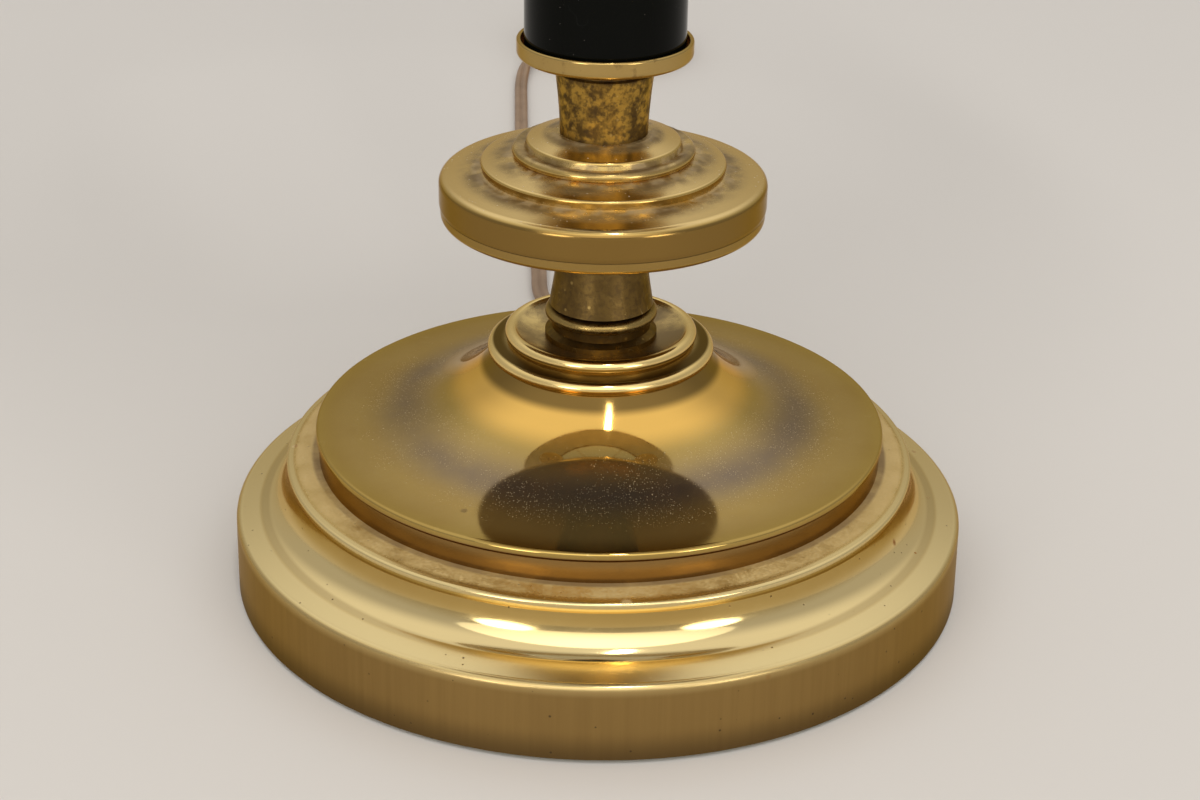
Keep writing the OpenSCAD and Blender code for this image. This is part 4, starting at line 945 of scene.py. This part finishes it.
def make_plug():
    """A moulded plug: rounded sections along its length, wide at the grip and ribbed at its tail."""
    lowest, highest = (np.array(corner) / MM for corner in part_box("plug_body"))
    centre = (lowest + highest) / 2
    rows = 79
    roundness = 0.42
    along = np.linspace(0, highest[1] - lowest[1], rows)
    half_w = np.interp(along, [0, 11.7, 13.7, 23.6, 25.2, 26], [4.5, 10, 12, 12, 11.5, 10.2])
    half_t = np.interp(along, [0, 11.7, 24.6, 25.6, 26], [3, 5.5, 5.5, 5.2, 4.6])
    pitch = 1.2
    ribs = np.where(along < 9.5, 0.35 * np.sin(along * math.pi / pitch) ** 2, 0)
    from_grip = along - 18.8
    grips = np.where(abs(from_grip) < 3.6, 0.45 * np.sin(from_grip * math.pi / pitch) ** 2, 0)
    circle = round_section(1.0, 64)
    rounded_box = np.sign(circle) * abs(circle) ** roundness
    half = np.column_stack((half_w - ribs - grips, half_t - ribs))
    path = np.column_stack((np.full(rows, centre[0]), lowest[1] + along, np.full(rows, centre[2])))
    body = swept(path, half[:, None, :] * rounded_box, [1.0, 0.0, 0.0])
    return piece("plug", [body], MOULDED, "lamp", ("plug_body",))


lead, lead_path, lead_length = make_lead()
plug = make_plug()
lead_length * MM
(lead_path * MM).tolist()


# ---- Foot ----

def make_plinth():
    """Wall, flat rim, quarter-ellipse cove, shoulder and ledge, spun from one sheet."""
    wall = 1.6
    edge = 1.5
    lip = 0.8
    shoulder = COVE_IN + FLARE
    turn = np.radians(np.linspace(9, 90, 33))
    quarter = np.column_stack((np.sin(turn), np.cos(turn)))
    cove, inner = ([RIM_IN, Z_COVE_TOP] - quarter * [COVE_W + grown, COVE_H + grown]
                   for grown in (0, wall))
    spun("plinth", outline(
        [FOOT_R + FLARE, Z_FOOT], arc(FOOT_R - edge, Z_RIM - edge, edge, 0, 90), cove,
        [shoulder, Z_COVE_TOP + lip], arc(shoulder - lip, Z_SHOULDER - lip, lip, 0, 90),
        [[DOME_R + 1, Z_SEAT], [DOME_R - 10, Z_SEAT], [DOME_R - 10, Z_SEAT - wall],
         [COVE_IN - wall, Z_SEAT - wall]],
        inner[::-1], [[FOOT_R - wall - edge, Z_RIM - wall], [FOOT_R - wall, Z_RIM - wall - edge],
                      [FOOT_R + FLARE - wall, Z_FOOT]]), PLINTH, "base_ring", segments=320)


def make_dome():
    """Upright wall, rolled lip, and a flare whose rise is a sum of the first, second and fourth
    powers of the way in."""
    wall = 1.4
    lip = 0.8
    foot_r = DOME_R - 0.6
    out_r = DOME_R - lip
    way = np.linspace(0, 1, 113)
    rise = 0.04 * way + 0.45 * way ** 2 + 0.51 * way ** 4
    flare = np.column_stack((out_r - (out_r - CAP_SEAT_R) * way, Z_LIP + DOME_RISE * rise))
    spun("dome", outline(
        [[foot_r, Z_SEAT], [foot_r, Z_LIP - 3 * lip], [DOME_R, Z_LIP - 2 * lip]],
        arc(out_r, Z_LIP - lip, lip, 0, 90), flare,
        [[BORE_R, Z_DOME_TOP], [BORE_R, Z_DOME_TOP - wall]], flare[::-4] - [0, wall],
        [[foot_r - wall, Z_LIP - wall - lip], [foot_r - wall, Z_SEAT]]), DOME, "base_dome", segments=320)


def make_cap():
    """Two beads, the upper one smaller, round a dish that sinks to the neck's foot."""
    bead = 1.6
    upper_r = 23.0 - bead
    dish_r = NECK_BEAD_R + 0.6
    start_r = upper_r - bead / 2
    way = np.linspace(0, 1, 17)[1:]
    dish = np.column_stack((start_r - (start_r - dish_r) * way, Z_NECK + (bead + 0.3) * (1 - way) ** 2))
    spun("cap", outline(
        [[BORE_R, Z_DOME_TOP], [CAP_SEAT_R - 0.6, Z_DOME_TOP]],
        arc(CAP_R - bead, Z_DOME_TOP + bead, bead, -60, 90, 16),
        arc(upper_r, Z_NECK + 0.8, bead, -60, 120, 18), dish, [BORE_R, Z_NECK]), CAP, "dome_cap")


def make_lower_neck():
    """Foot disc, bead, and a waist that narrows upwards by a sine."""
    bead = 1.7
    z_bead = Z_NECK + 6.2
    z_waist = z_bead + bead + 0.5
    waist_r = NECK_BEAD_R - 1
    top_r = 10.1
    way = np.linspace(0, 1, 21)
    waist = np.column_stack((waist_r - (waist_r - top_r) * np.sin(way * math.pi / 2),
                             z_waist + (Z_PLATE - z_waist) * way))
    spun("lower_stem", outline(
        [[BORE_R, Z_NECK], [NECK_BEAD_R, Z_NECK], [NECK_BEAD_R, Z_NECK + 1.4],
         [NECK_BEAD_R - 1.6, Z_NECK + 2.4], [NECK_BEAD_R - 1.6, z_bead - bead]],
        arc(NECK_BEAD_R - bead, z_bead, bead, -70, 80, 16), [waist_r - 0.8, z_bead + bead + 0.1],
        waist, [BORE_R, Z_PLATE]), LOWER_NECK, "lower_neck", segments=192)


def make_knop():
    """The lower plate, and above its seam a shell with an upright edge and three steps."""
    plate_r = KNOP_R - 0.3
    half = (Z_SEAM - Z_PLATE) / 2
    spun("knop_underside", outline(
        [[BORE_R, Z_PLATE], [plate_r - 3 * half, Z_PLATE]],
        arc(plate_r - half, Z_PLATE + half, half, -70, 0),
        [[plate_r, Z_SEAM], [BORE_R, Z_SEAM]]), KNOP, "knop_plate")
    edge = 2
    foot = 0.3
    bead = 1.25
    wall = 1.6
    inner_2 = TIER_2_R - 2 * wall
    inner_3 = TIER_3_R - 3 * wall
    spun("knop", outline(
        [[KNOP_R - 0.2, Z_SEAM], [KNOP_R, Z_SEAM + 1]],
        arc(KNOP_R - edge, Z_TIER_1 - edge, edge, 0, 90),
        [[TIER_2_R + foot, Z_TIER_1 + 0.9], [TIER_2_R - foot, Z_TIER_1 + 1.2]],
        arc(TIER_2_R - 0.7, Z_TIER_2 - 0.7, 0.7, 0, 90, 8), [TIER_3_R + foot, Z_TIER_2 + 1.2],
        arc(TIER_3_R - bead, Z_TIER_3 - bead, bead, -60, 90, 14),
        [TOP_TIER_R + foot, Z_TIER_3 - foot], arc(TOP_TIER_R - 0.8, Z_TIER_3 + 0.7, 0.8, 0, 90, 8),
        [[KNOP_TOP_R, Z_KNOP_TOP], [BORE_R, Z_KNOP_TOP], [BORE_R, Z_TIER_3 - wall]],
        [[inner_3, Z_TIER_3 - wall], [inner_3, Z_TIER_2 - wall], [inner_2, Z_TIER_2 - wall]],
        [[inner_2, Z_TIER_1 - wall], [KNOP_R - wall, Z_TIER_1 - wall - 1.2], [KNOP_R - wall, Z_SEAM]]),
        KNOP, "knop_shell")


def make_upper_neck():
    """A neck that widens slowly upwards, with a small cove under the ferrule."""
    z_flare = Z_FERRULE - 3.3
    way = np.linspace(0, 1, 21)
    stem = np.column_stack((STEM_R + 1.2 * way ** 1.6, Z_KNOP_TOP + (z_flare - Z_KNOP_TOP) * way))
    turn = np.radians(np.linspace(0, 90, 13))
    cove = np.column_stack((10.9 + 1.6 * (1 - np.cos(turn)), z_flare + 0.5 + 2.8 * np.sin(turn)))
    spun("upper_stem", outline([BORE_R, Z_KNOP_TOP], stem, cove, [BORE_R, Z_FERRULE]),
         UPPER_NECK, "upper_neck", segments=192)


# ---- Column ----

def ferrule_profile():
    """A cup with a rounded foot and mouth, its floor at height 0."""
    wall = 1.1
    foot = 1.4
    inner = COLUMN_R - 1.65
    return outline(
        [[BORE_R, 0], [FERRULE_R - 2.2 * foot, 0]], arc(FERRULE_R - foot, foot, foot, -75, 0),
        arc(FERRULE_R - wall / 2, wall * 1.5 + 2.1, wall / 2, 0, 180),
        [[FERRULE_R - wall, wall], [inner, wall], [inner, wall + 2.5], [inner - 1.85, wall + 2.5],
         [inner - 1.85, wall], [BORE_R, wall]])


def make_column():
    """The lacquered tube between its two ferrules."""
    cup = ferrule_profile()
    spun("lower_cup", cup + [0, Z_FERRULE], FERRULE, "lower_ferrule")
    spun("upper_cup", cup[::-1] * [1, -1] + [0, Z_HUB_NECK], FERRULE, "upper_ferrule")
    inner = COLUMN_R - 1.5
    edge = 0.25
    spun("column", outline(
        arc(COLUMN_R - edge, Z_COLUMN + edge, edge, -90, 0, 4),
        arc(COLUMN_R - edge, Z_COLUMN_TOP - edge, edge, 0, 90, 4),
        [[inner, Z_COLUMN_TOP], [inner, Z_COLUMN]]), LACQUER, "column_tube")


# ---- Hub ----

def make_hub():
    """Neck, drum and domed cover of the hub."""
    foot_r = FERRULE_R - 4
    waist_r = foot_r - 5
    top_r = HUB_R - 5
    way = np.linspace(0, 1, 33)
    sweep = waist_r + (top_r - waist_r) * way ** 3 + 2 * (1 - way) ** 4
    spun("hub_stem", outline(
        [BORE_R, Z_HUB_NECK], arc(foot_r - 1, Z_HUB_NECK + 1, 1, -90, 90),
        np.column_stack((sweep, Z_HUB_NECK + 2 + (Z_HUB - Z_HUB_NECK - 4) * way)),
        arc(top_r, Z_HUB - 1, 1, -90, 90), [BORE_R, Z_HUB]), BRASS, "hub_neck")
    wall = 2
    spun("hub_drum", outline(
        [BORE_R, Z_HUB], arc(HUB_R - 1.2, Z_HUB + 1.2, 1.2, -90, 0),
        arc(HUB_R - 0.6, Z_COVER - 0.6, 0.6, 0, 90),
        [[HUB_R - wall, Z_COVER], [HUB_R - wall, Z_HUB + wall], [BORE_R, Z_HUB + wall]]),
        BRASS, "hub_body")
    boss_r = ROD_R + 3
    bead = 1.2
    bore = 4.15
    spigot_r = HUB_R - wall - 0.15
    turn = np.linspace(0, 1, 25)[1:] * math.pi / 2
    crown = np.column_stack((HUB_R - bead - (HUB_R - bead - boss_r) * np.sin(turn),
                             Z_COVER + 2 * bead + (Z_ROD - Z_COVER - 2 * bead - 2) * (1 - np.cos(turn))))
    spun("hub_lid", outline(
        [[bore, Z_COVER - 2], [spigot_r, Z_COVER - 2], [spigot_r, Z_COVER]],
        arc(HUB_R + 0.4 - bead, Z_COVER + bead, bead, -90, 90), crown,
        arc(boss_r - 0.8, Z_ROD - 1, 1, -80, 90), [bore, Z_ROD]), BRASS, "hub_cover")


def make_switch_knob():
    """A small knob with flutes round its grip."""
    radius = reach("switch_knob")
    near = -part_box("switch_knob")[1].y / MM
    crown = 0.8
    edge = 1.2
    length = -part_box("switch_knob")[0].y / MM - near - crown
    grip = near + length * 0.36

    def fluted(r, angle, z):
        inside = np.clip((z - grip) / 0.6, 0, 1) * (r > radius - 2.5)
        return r - 0.5 * inside * (0.5 + 0.5 * np.cos(24 * angle)) ** 2

    profile = outline(
        [[0, near], [5.1, near], [5.1, near + length * 0.2], [radius - 1, near + length * 0.25]],
        [[radius, near + length * 0.3], [radius, grip]],
        arc(radius - edge, near + length - edge, edge, 0, 90, 8),
        arc(0, 0, 1, 0, 90, 8) * [radius * 0.6, crown] + [0, near + length])
    surface = facing_front(turned(profile, 288, closed=False, shape=fluted), Z_ARM)
    piece("turn_knob", [surface], BRASS, "switch", ("switch_knob",), crease=45)


# ---- Arms and candles ----

def arm_line():
    """Middle line of the right-hand arm: straight out, a dip, a wide rise, and straight up."""
    dip = math.radians(40)
    shoulder_r = 22.0
    rise_r = 31.0
    out_x = HUB_R + 4
    centre_x = out_x + (shoulder_r + rise_r) * math.sin(dip)
    over = arc(out_x, Z_ARM - shoulder_r, shoulder_r, 90, 50, 24)
    under = arc(centre_x, Z_PAN, rise_r, 230, 360, 64)
    line = outline([HUB_R - 6, Z_ARM], over, under[1:], [CANDLE_X, Z_SLEEVE + 6])
    return np.column_stack((line[:, 0], np.zeros(len(line)), line[:, 1]))


def mirrored(surface, sign):
    """The surface itself for sign 1. For -1 its mirror image on the left, with its faces outwards."""
    points, faces = surface
    return (points, faces) if sign > 0 else (points * [-1, 1, 1], faces[:, ::-1])


def along_x(surface, height):
    """A surface turned about +Z, laid so that its axis runs to the right at a height."""
    points, faces = surface
    return np.column_stack((points[:, 2], points[:, 1], height - points[:, 0])), faces


def make_arm(side, sign):
    """A bent tube with a boss at the hub and a small cone under the drip pan."""
    bead = 0.9
    core = ARM_R - 1
    tube = swept(arm_line(), round_section(ARM_R, 40), [0.0, 1.0, 0.0])
    boss = along_x(turned(outline(
        [core, HUB_R - 1.2], arc(BOSS_R - 0.2, HUB_R + 0.4, bead, -90, 20, 6),
        arc(BOSS_R - bead, HUB_R + 4.1, bead, 0, 90, 6), [core, HUB_R + 5]), 96), Z_ARM)
    cone = turned(outline(
        [[core, Z_PAN - 3.4], [ARM_R, Z_PAN - 3.2]], arc(BOSS_R - 0.6, Z_PAN - 0.6, 0.6, -30, 90, 6),
        [core, Z_PAN]), 96, CANDLE_X)
    parts = [mirrored(part, sign) for part in (tube, boss, cone)]
    piece("bent_arm_" + side, parts, BRASS, "lamp", ("arm_" + side,), crease=45)


def make_drip_pan(side, sign):
    """A shallow pan whose floor rises outwards to a rolled edge."""
    pan_r = reach("drip_pan_" + side)
    depth = 5.0
    bead = 1.1
    well = BOSS_R + 3
    bore = ARM_R + 0.15
    way = np.linspace(0, 1, 25)[1:]
    under = np.column_stack((well + (pan_r - bead - well) * way, Z_PAN + (depth - bead) * way ** 1.8))
    inside = way[::-1] - way[0]
    over = np.column_stack((well + (pan_r - 2 * bead - well) * inside,
                            Z_CUP + (depth - bead) * inside ** 1.8))
    spun("pan_" + side, outline(
        [[bore, Z_PAN], [well, Z_PAN]], under, arc(pan_r - bead, Z_PAN + depth, bead, -60, 160, 20),
        over, [bore, Z_CUP]), BRASS, "drip_pan_" + side, segments=192, centre_x=sign * CANDLE_X)


def make_candle_cup(side, sign):
    """A small urn that widens upwards to a beaded lip."""
    lip_r = reach("candle_cup_" + side)
    foot_r = BOSS_R + 1.5
    waist = foot_r - 0.8
    inner = 11.15
    bore = ARM_R + 0.15
    way = np.linspace(0, 1, 25)
    bowl = np.column_stack((waist + (lip_r - 1.1 - waist) * np.sin(way * math.pi / 2) ** 0.7,
                            Z_CUP + 1.6 + (Z_CUP_TOP - Z_CUP - 4.4) * way))
    spun("cup_" + side, outline(
        [[bore, Z_CUP], [foot_r, Z_CUP], [foot_r, Z_CUP + 1]], bowl,
        arc(lip_r - 1, Z_CUP_TOP - 1, 1, -60, 90, 14),
        [[inner, Z_CUP_TOP], [inner, Z_SLEEVE], [bore, Z_SLEEVE]]),
        BRASS, "candle_cup_" + side, segments=192, centre_x=sign * CANDLE_X)


def make_sleeve(side, sign):
    """The candle's sleeve, a thin tube with softened ends."""
    half = 0.55
    middle_r = reach("candle_sleeve_" + side) - half
    spun("sleeve_" + side, outline(
        arc(middle_r, Z_SLEEVE_TOP - half, half, 0, 180, 8),
        arc(middle_r, Z_SLEEVE + half, half, 180, 360, 8)),
        IVORY, "candle_sleeve_" + side, segments=160, centre_x=sign * CANDLE_X)


def make_bulb_glass(side, sign):
    """A candle flame: a cosine swell to the belly and a rounded taper to the tip."""
    node = "bulb_glass_" + side
    z_glass = low(node) + 3
    height = top(node) - z_glass
    belly = reach(node)
    neck = 5.6
    fullest = 0.42
    way = np.linspace(0, 1, 97)
    swell = neck + (belly - neck) * (1 - np.cos(np.pi * np.minimum(way, fullest) / fullest)) / 2
    beyond = np.maximum(way - fullest, 0) / (1 - fullest)
    taper = belly * np.maximum(0, 1 - beyond ** 1.9) ** 0.8
    radius = np.where(way < fullest, swell, taper)
    outside = np.column_stack((radius, z_glass + height * way))
    inside = np.column_stack((radius - 0.8, z_glass + (height - 0.9) * way))
    inside = inside[inside[:, 0] > 0.1]
    tip = [0, inside[-1, 1] + 0.1]
    spun("flame_glass_" + side, outline(
        [[neck - 0.8, z_glass - 3], [neck, z_glass - 3]], outside, tip, inside[::-1]),
        GLASS, node, "bulb_" + side, 128, sign * CANDLE_X)


def make_candles():
    """Both arms with all that they carry."""
    for side, sign in (("left", -1), ("right", 1)):
        for make in (make_arm, make_drip_pan, make_candle_cup, make_sleeve, make_bulb_glass):
            make(side, sign)


# ---- Shade ----

def make_rod():
    """The rod that carries the shade, with the thinner stud on which the finial screws."""
    edge = 0.4
    spun("rod", outline(
        [[0, Z_ROD - 8], [4, Z_ROD - 8], [4, Z_ROD], [ROD_R, Z_ROD]],
        arc(ROD_R - edge, Z_ROD_STUD - edge, edge, 0, 90, 6),
        [[3, Z_ROD_STUD], [3, Z_ROD_STUD + 9.6], [2.6, Z_ROD_STUD + 10], [0, Z_ROD_STUD + 10]]),
        BRASS, "shade_rod", segments=96, closed=False)


def rod_ring(z, height):
    """A ring round the rod with rounded outer edges."""
    edge = 1.0
    bore = ROD_R + 0.05
    return turned(outline(
        [bore, z], arc(COLLAR_R - edge, z + edge, edge, -90, 0, 8),
        arc(COLLAR_R - edge, z + height - edge, edge, 0, 90, 8), [bore, z + height]), 128)


def make_collar():
    """The sliding collar with the boss of its thumbscrew."""
    bore = 2.05
    boss = turned(outline(
        [[bore, COLLAR_R - 2], [4, COLLAR_R - 2]], arc(3.6, COLLAR_R + 3.6, 0.4, 0, 90, 6),
        [bore, COLLAR_R + 4]), 64)
    piece("collar_ring", [rod_ring(Z_COLLAR, COLLAR_H), facing_front(boss, Z_SCREW)], BRASS, "collar",
          ("shade_collar",))


def make_thumbscrew():
    """A thumbscrew: a scalloped head on a threaded stem."""
    head_r = reach("thumbscrew")
    y_head = COLLAR_R + 6

    def worked(r, angle, z):
        on_head = (r > head_r - 2) & (z > y_head + 0.5)
        on_stem = (r < 2.1) & (r > 1.5) & (z < y_head - 1.6)
        thread = 0.12 * np.sin(2 * math.pi * z / 0.7 - angle) * on_stem
        scallop = 0.85 * on_head * (0.5 + 0.5 * np.cos(20 * angle)) ** 3
        return r - scallop + thread - 0.1 * (thread != 0)

    stem = np.column_stack((np.full(75, 2.0), np.linspace(ROD_R + 0.4, y_head - 1.5, 75)))
    profile = outline(
        [[0, ROD_R + 0.3], [1.6, ROD_R + 0.3]], stem,
        [[3.4, y_head - 1.4], [3.4, y_head], [head_r - 1, y_head], [head_r, y_head + 1]],
        arc(head_r - 1, y_head + 3, 1, 0, 90, 8), [[head_r * 0.5, y_head + 4], [0, y_head + 4]])
    surface = facing_front(turned(profile, 240, closed=False, shape=worked), Z_SCREW)
    piece("thumb_screw", [surface], BRASS, "thumbscrew", ("thumbscrew",), crease=45)


def make_spider():
    """A hub, four wires and the ring that is soldered inside the shade."""
    taper = (SHADE_R - SHADE_TOP_R) / (Z_SHADE_TOP - Z_SHADE)
    ring_r = SHADE_TOP_R + 6 * taper - SHADE_T - 1.9
    parts = [rod_ring(Z_SPIDER, SPIDER_H)]
    way_out = np.linspace(ROD_R + 2, ring_r, 41)
    fillet = 1.5 + 1.3 * np.exp(-(way_out - COLLAR_R) / 0.8) * (way_out > COLLAR_R - 0.5)
    fillet = np.minimum(fillet + 0.8 * np.exp(-(ring_r - way_out) / 1.2), 2.6)
    section = round_section(1.0) * fillet[:, None, None]
    for angle in np.radians([45, 135, 225, 315]):
        ahead = np.array([math.cos(angle), math.sin(angle), 0.0])
        path = way_out[:, None] * ahead + [0, 0, Z_WIRES]
        parts.append(swept(path, section, [-ahead[1], ahead[0], 0.0]))
    outward = np.column_stack((round_section(1.0, 192), np.zeros(192)))
    parts.append(swept(ring_r * outward + [0, 0, Z_WIRES], round_section(1.7), outward, closed=True))
    piece("spider", parts, BRASS, "shade", ("shade_spider",), crease=60)


def make_shade():
    """A cone of sheet metal, black outside and cream inside, with a rolled band on both edges."""
    edge_r = SHADE_TOP_R - SHADE_T / 2
    outside = [[SHADE_R, Z_SHADE], [SHADE_TOP_R, Z_SHADE_TOP], [edge_r, Z_SHADE_TOP]]
    inside = [[edge_r, Z_SHADE_TOP], [SHADE_TOP_R - SHADE_T, Z_SHADE_TOP],
              [SHADE_R - SHADE_T, Z_SHADE], [SHADE_R, Z_SHADE]]
    sheets = [(*turned(line, 320, closed=False), number) for number, line in enumerate((outside, inside))]
    piece("shade_cone", sheets, [SHADE_OUTSIDE, SHADE_INSIDE], "shade", ("shade_shell",))
    band_r = 1.6
    drop = band_r * math.cos(math.radians(30))
    for name, radius, height, start in (("top", SHADE_TOP_R, Z_SHADE_TOP + drop, -60),
                                        ("bottom", SHADE_R, Z_SHADE - drop, 120)):
        bead = arc(radius - SHADE_T / 2, height, band_r, start, start + 300, 24)
        spun("band_" + name, bead, BRASS, "shade_" + name + "_band", "shade", segments=320)


def make_finial():
    """An urn on a disc, with a small ball on top."""
    z_0 = low("finial")
    height = top("finial") - z_0
    urn_r = 8.5
    z_urn = z_0 + height * 0.45
    ball = 2.2
    z_ball = z_0 + height - ball
    bore = 3.05
    spun("finial_urn", outline(
        [bore, z_0], arc(6.5, z_0 + 1.5, 1.5, -90, 90, 14), [4.6, z_0 + 4.2], [4.2, z_0 + height * 0.22],
        arc(0, z_urn, urn_r, -50, 55, 40), [2.4, z_urn + urn_r * 0.95], [1.5, z_ball - ball * 0.75],
        arc(0, z_ball, ball, -45, 90, 20), [[0, z_0 + 10.5], [bore, z_0 + 10.5]]),
        BRASS, "finial", "finial", segments=128)


for make in (make_plinth, make_dome, make_cap, make_lower_neck, make_knop, make_upper_neck,
             make_column, make_hub, make_switch_knob, make_candles, make_rod, make_collar,
             make_thumbscrew, make_spider, make_shade, make_finial):
    make()


# ---- Finishes of the pieces whose solids are shown ----

SHOWN = {
    "felt_pad": FELT, "base_weight": IRON, "base_washer": STEEL, "base_nut": STEEL,
    "cord_bushing": RUBBER, "stack_pipe": STEEL, "hub_nut": STEEL, "switch_body": MOULDED,
    "switch_nut": BRASS, "switch_shaft": STEEL, "arm_nuts": STEEL, "arm_wires": SLEEVING,
    "socket_brackets": STEEL, "socket_body_left": MOULDED, "socket_body_right": MOULDED,
    "socket_shells": CONTACT, "bulb_cap_left": CONTACT, "bulb_cap_right": CONTACT,
    "bulb_mount_left": STEM_GLASS, "bulb_mount_right": STEM_GLASS, "inner_lead": LEAD,
    "cord_tie": MOULDED, "plug_blades": CONTACT}

for node_name, finish in SHOWN.items():
    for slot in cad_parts[node_name].material_slots:
        slot.material = finish


# ---- Floor and light ----

def make_stage():
    """A pale floor that runs on to all sides."""
    far = 9.0
    line = np.linspace(-far, far, 3)
    across_x, line_y = np.meshgrid(line, line)
    points = np.stack((across_x, line_y, 0 * line_y), axis=-1)
    mesh = bpy.data.meshes.new("floor")
    mesh.from_pydata(points.reshape(-1, 3).tolist(), [], grid_faces(3, 3, False, False).tolist())
    mesh.materials.append(Finish("pale floor", (0.66, 0.62, 0.57), 0.8).close())
    floor = bpy.data.objects.new("floor", mesh)
    bpy.context.scene.collection.objects.link(floor)


def make_lamp(name, place, target, width, height, power, shape="RECTANGLE", spread=180):
    """A soft light that looks at a target. A spread below 180 degrees keeps it off the floor
    beneath it, as a grid does."""
    light = bpy.data.lights.new(name, "AREA")
    light.shape = shape
    light.spread = math.radians(spread)
    light.size = width
    light.size_y = height
    light.energy = power
    holder = bpy.data.objects.new(name, light)
    aim = (Vector(target) - Vector(place)).to_track_quat("-Z", "Y")
    holder.matrix_world = Matrix.Translation(place) @ aim.to_matrix().to_4x4()
    bpy.context.scene.collection.objects.link(holder)


def make_light():
    """Low windows in front on both sides, a narrow high one, a wide soft panel, and a surround
    that grows brighter upwards and is darker right overhead."""
    make_lamp("low left window", (-0.80, -1.39, 0.26), (0, 0, 0.03), 0.56, 0.46, 0.30, "ELLIPSE", 50)
    make_lamp("low right window", (0.98, -1.26, 0.24), (0, 0, 0.03), 0.56, 0.42, 0.27, "ELLIPSE", 50)
    make_lamp("high window", (0.17, -0.76, 1.52), (0, 0, 0.05), 0.10, 0.40, 3.4)
    make_lamp("wide panel", (0.0, -2.2, 1.35), (0, 0, 0.05), 4.8, 1.9, 14.5, "ELLIPSE", 120)
    world = bpy.data.worlds.new("surround")
    world.use_nodes = True
    sky = Layout(world.node_tree)
    upward = sky.split(sky.put("TexCoord")["Generated"])[2]
    brighter = sky.step(upward, 0.35, 0.8, 0.55, 1.0)
    overhead = sky.step(upward, 0.92, 0.98, 1.0, 0.5)
    ground = world.node_tree.nodes["Background"]
    ground.inputs["Color"].default_value = (0.97, 0.96, 0.95, 1)
    sky.feed(ground.inputs["Strength"], brighter * overhead)
    bpy.context.scene.world = world


make_stage()
make_light()
bpy.context.scene.view_settings.view_transform = "Standard"

bpy.context.view_layer.update()
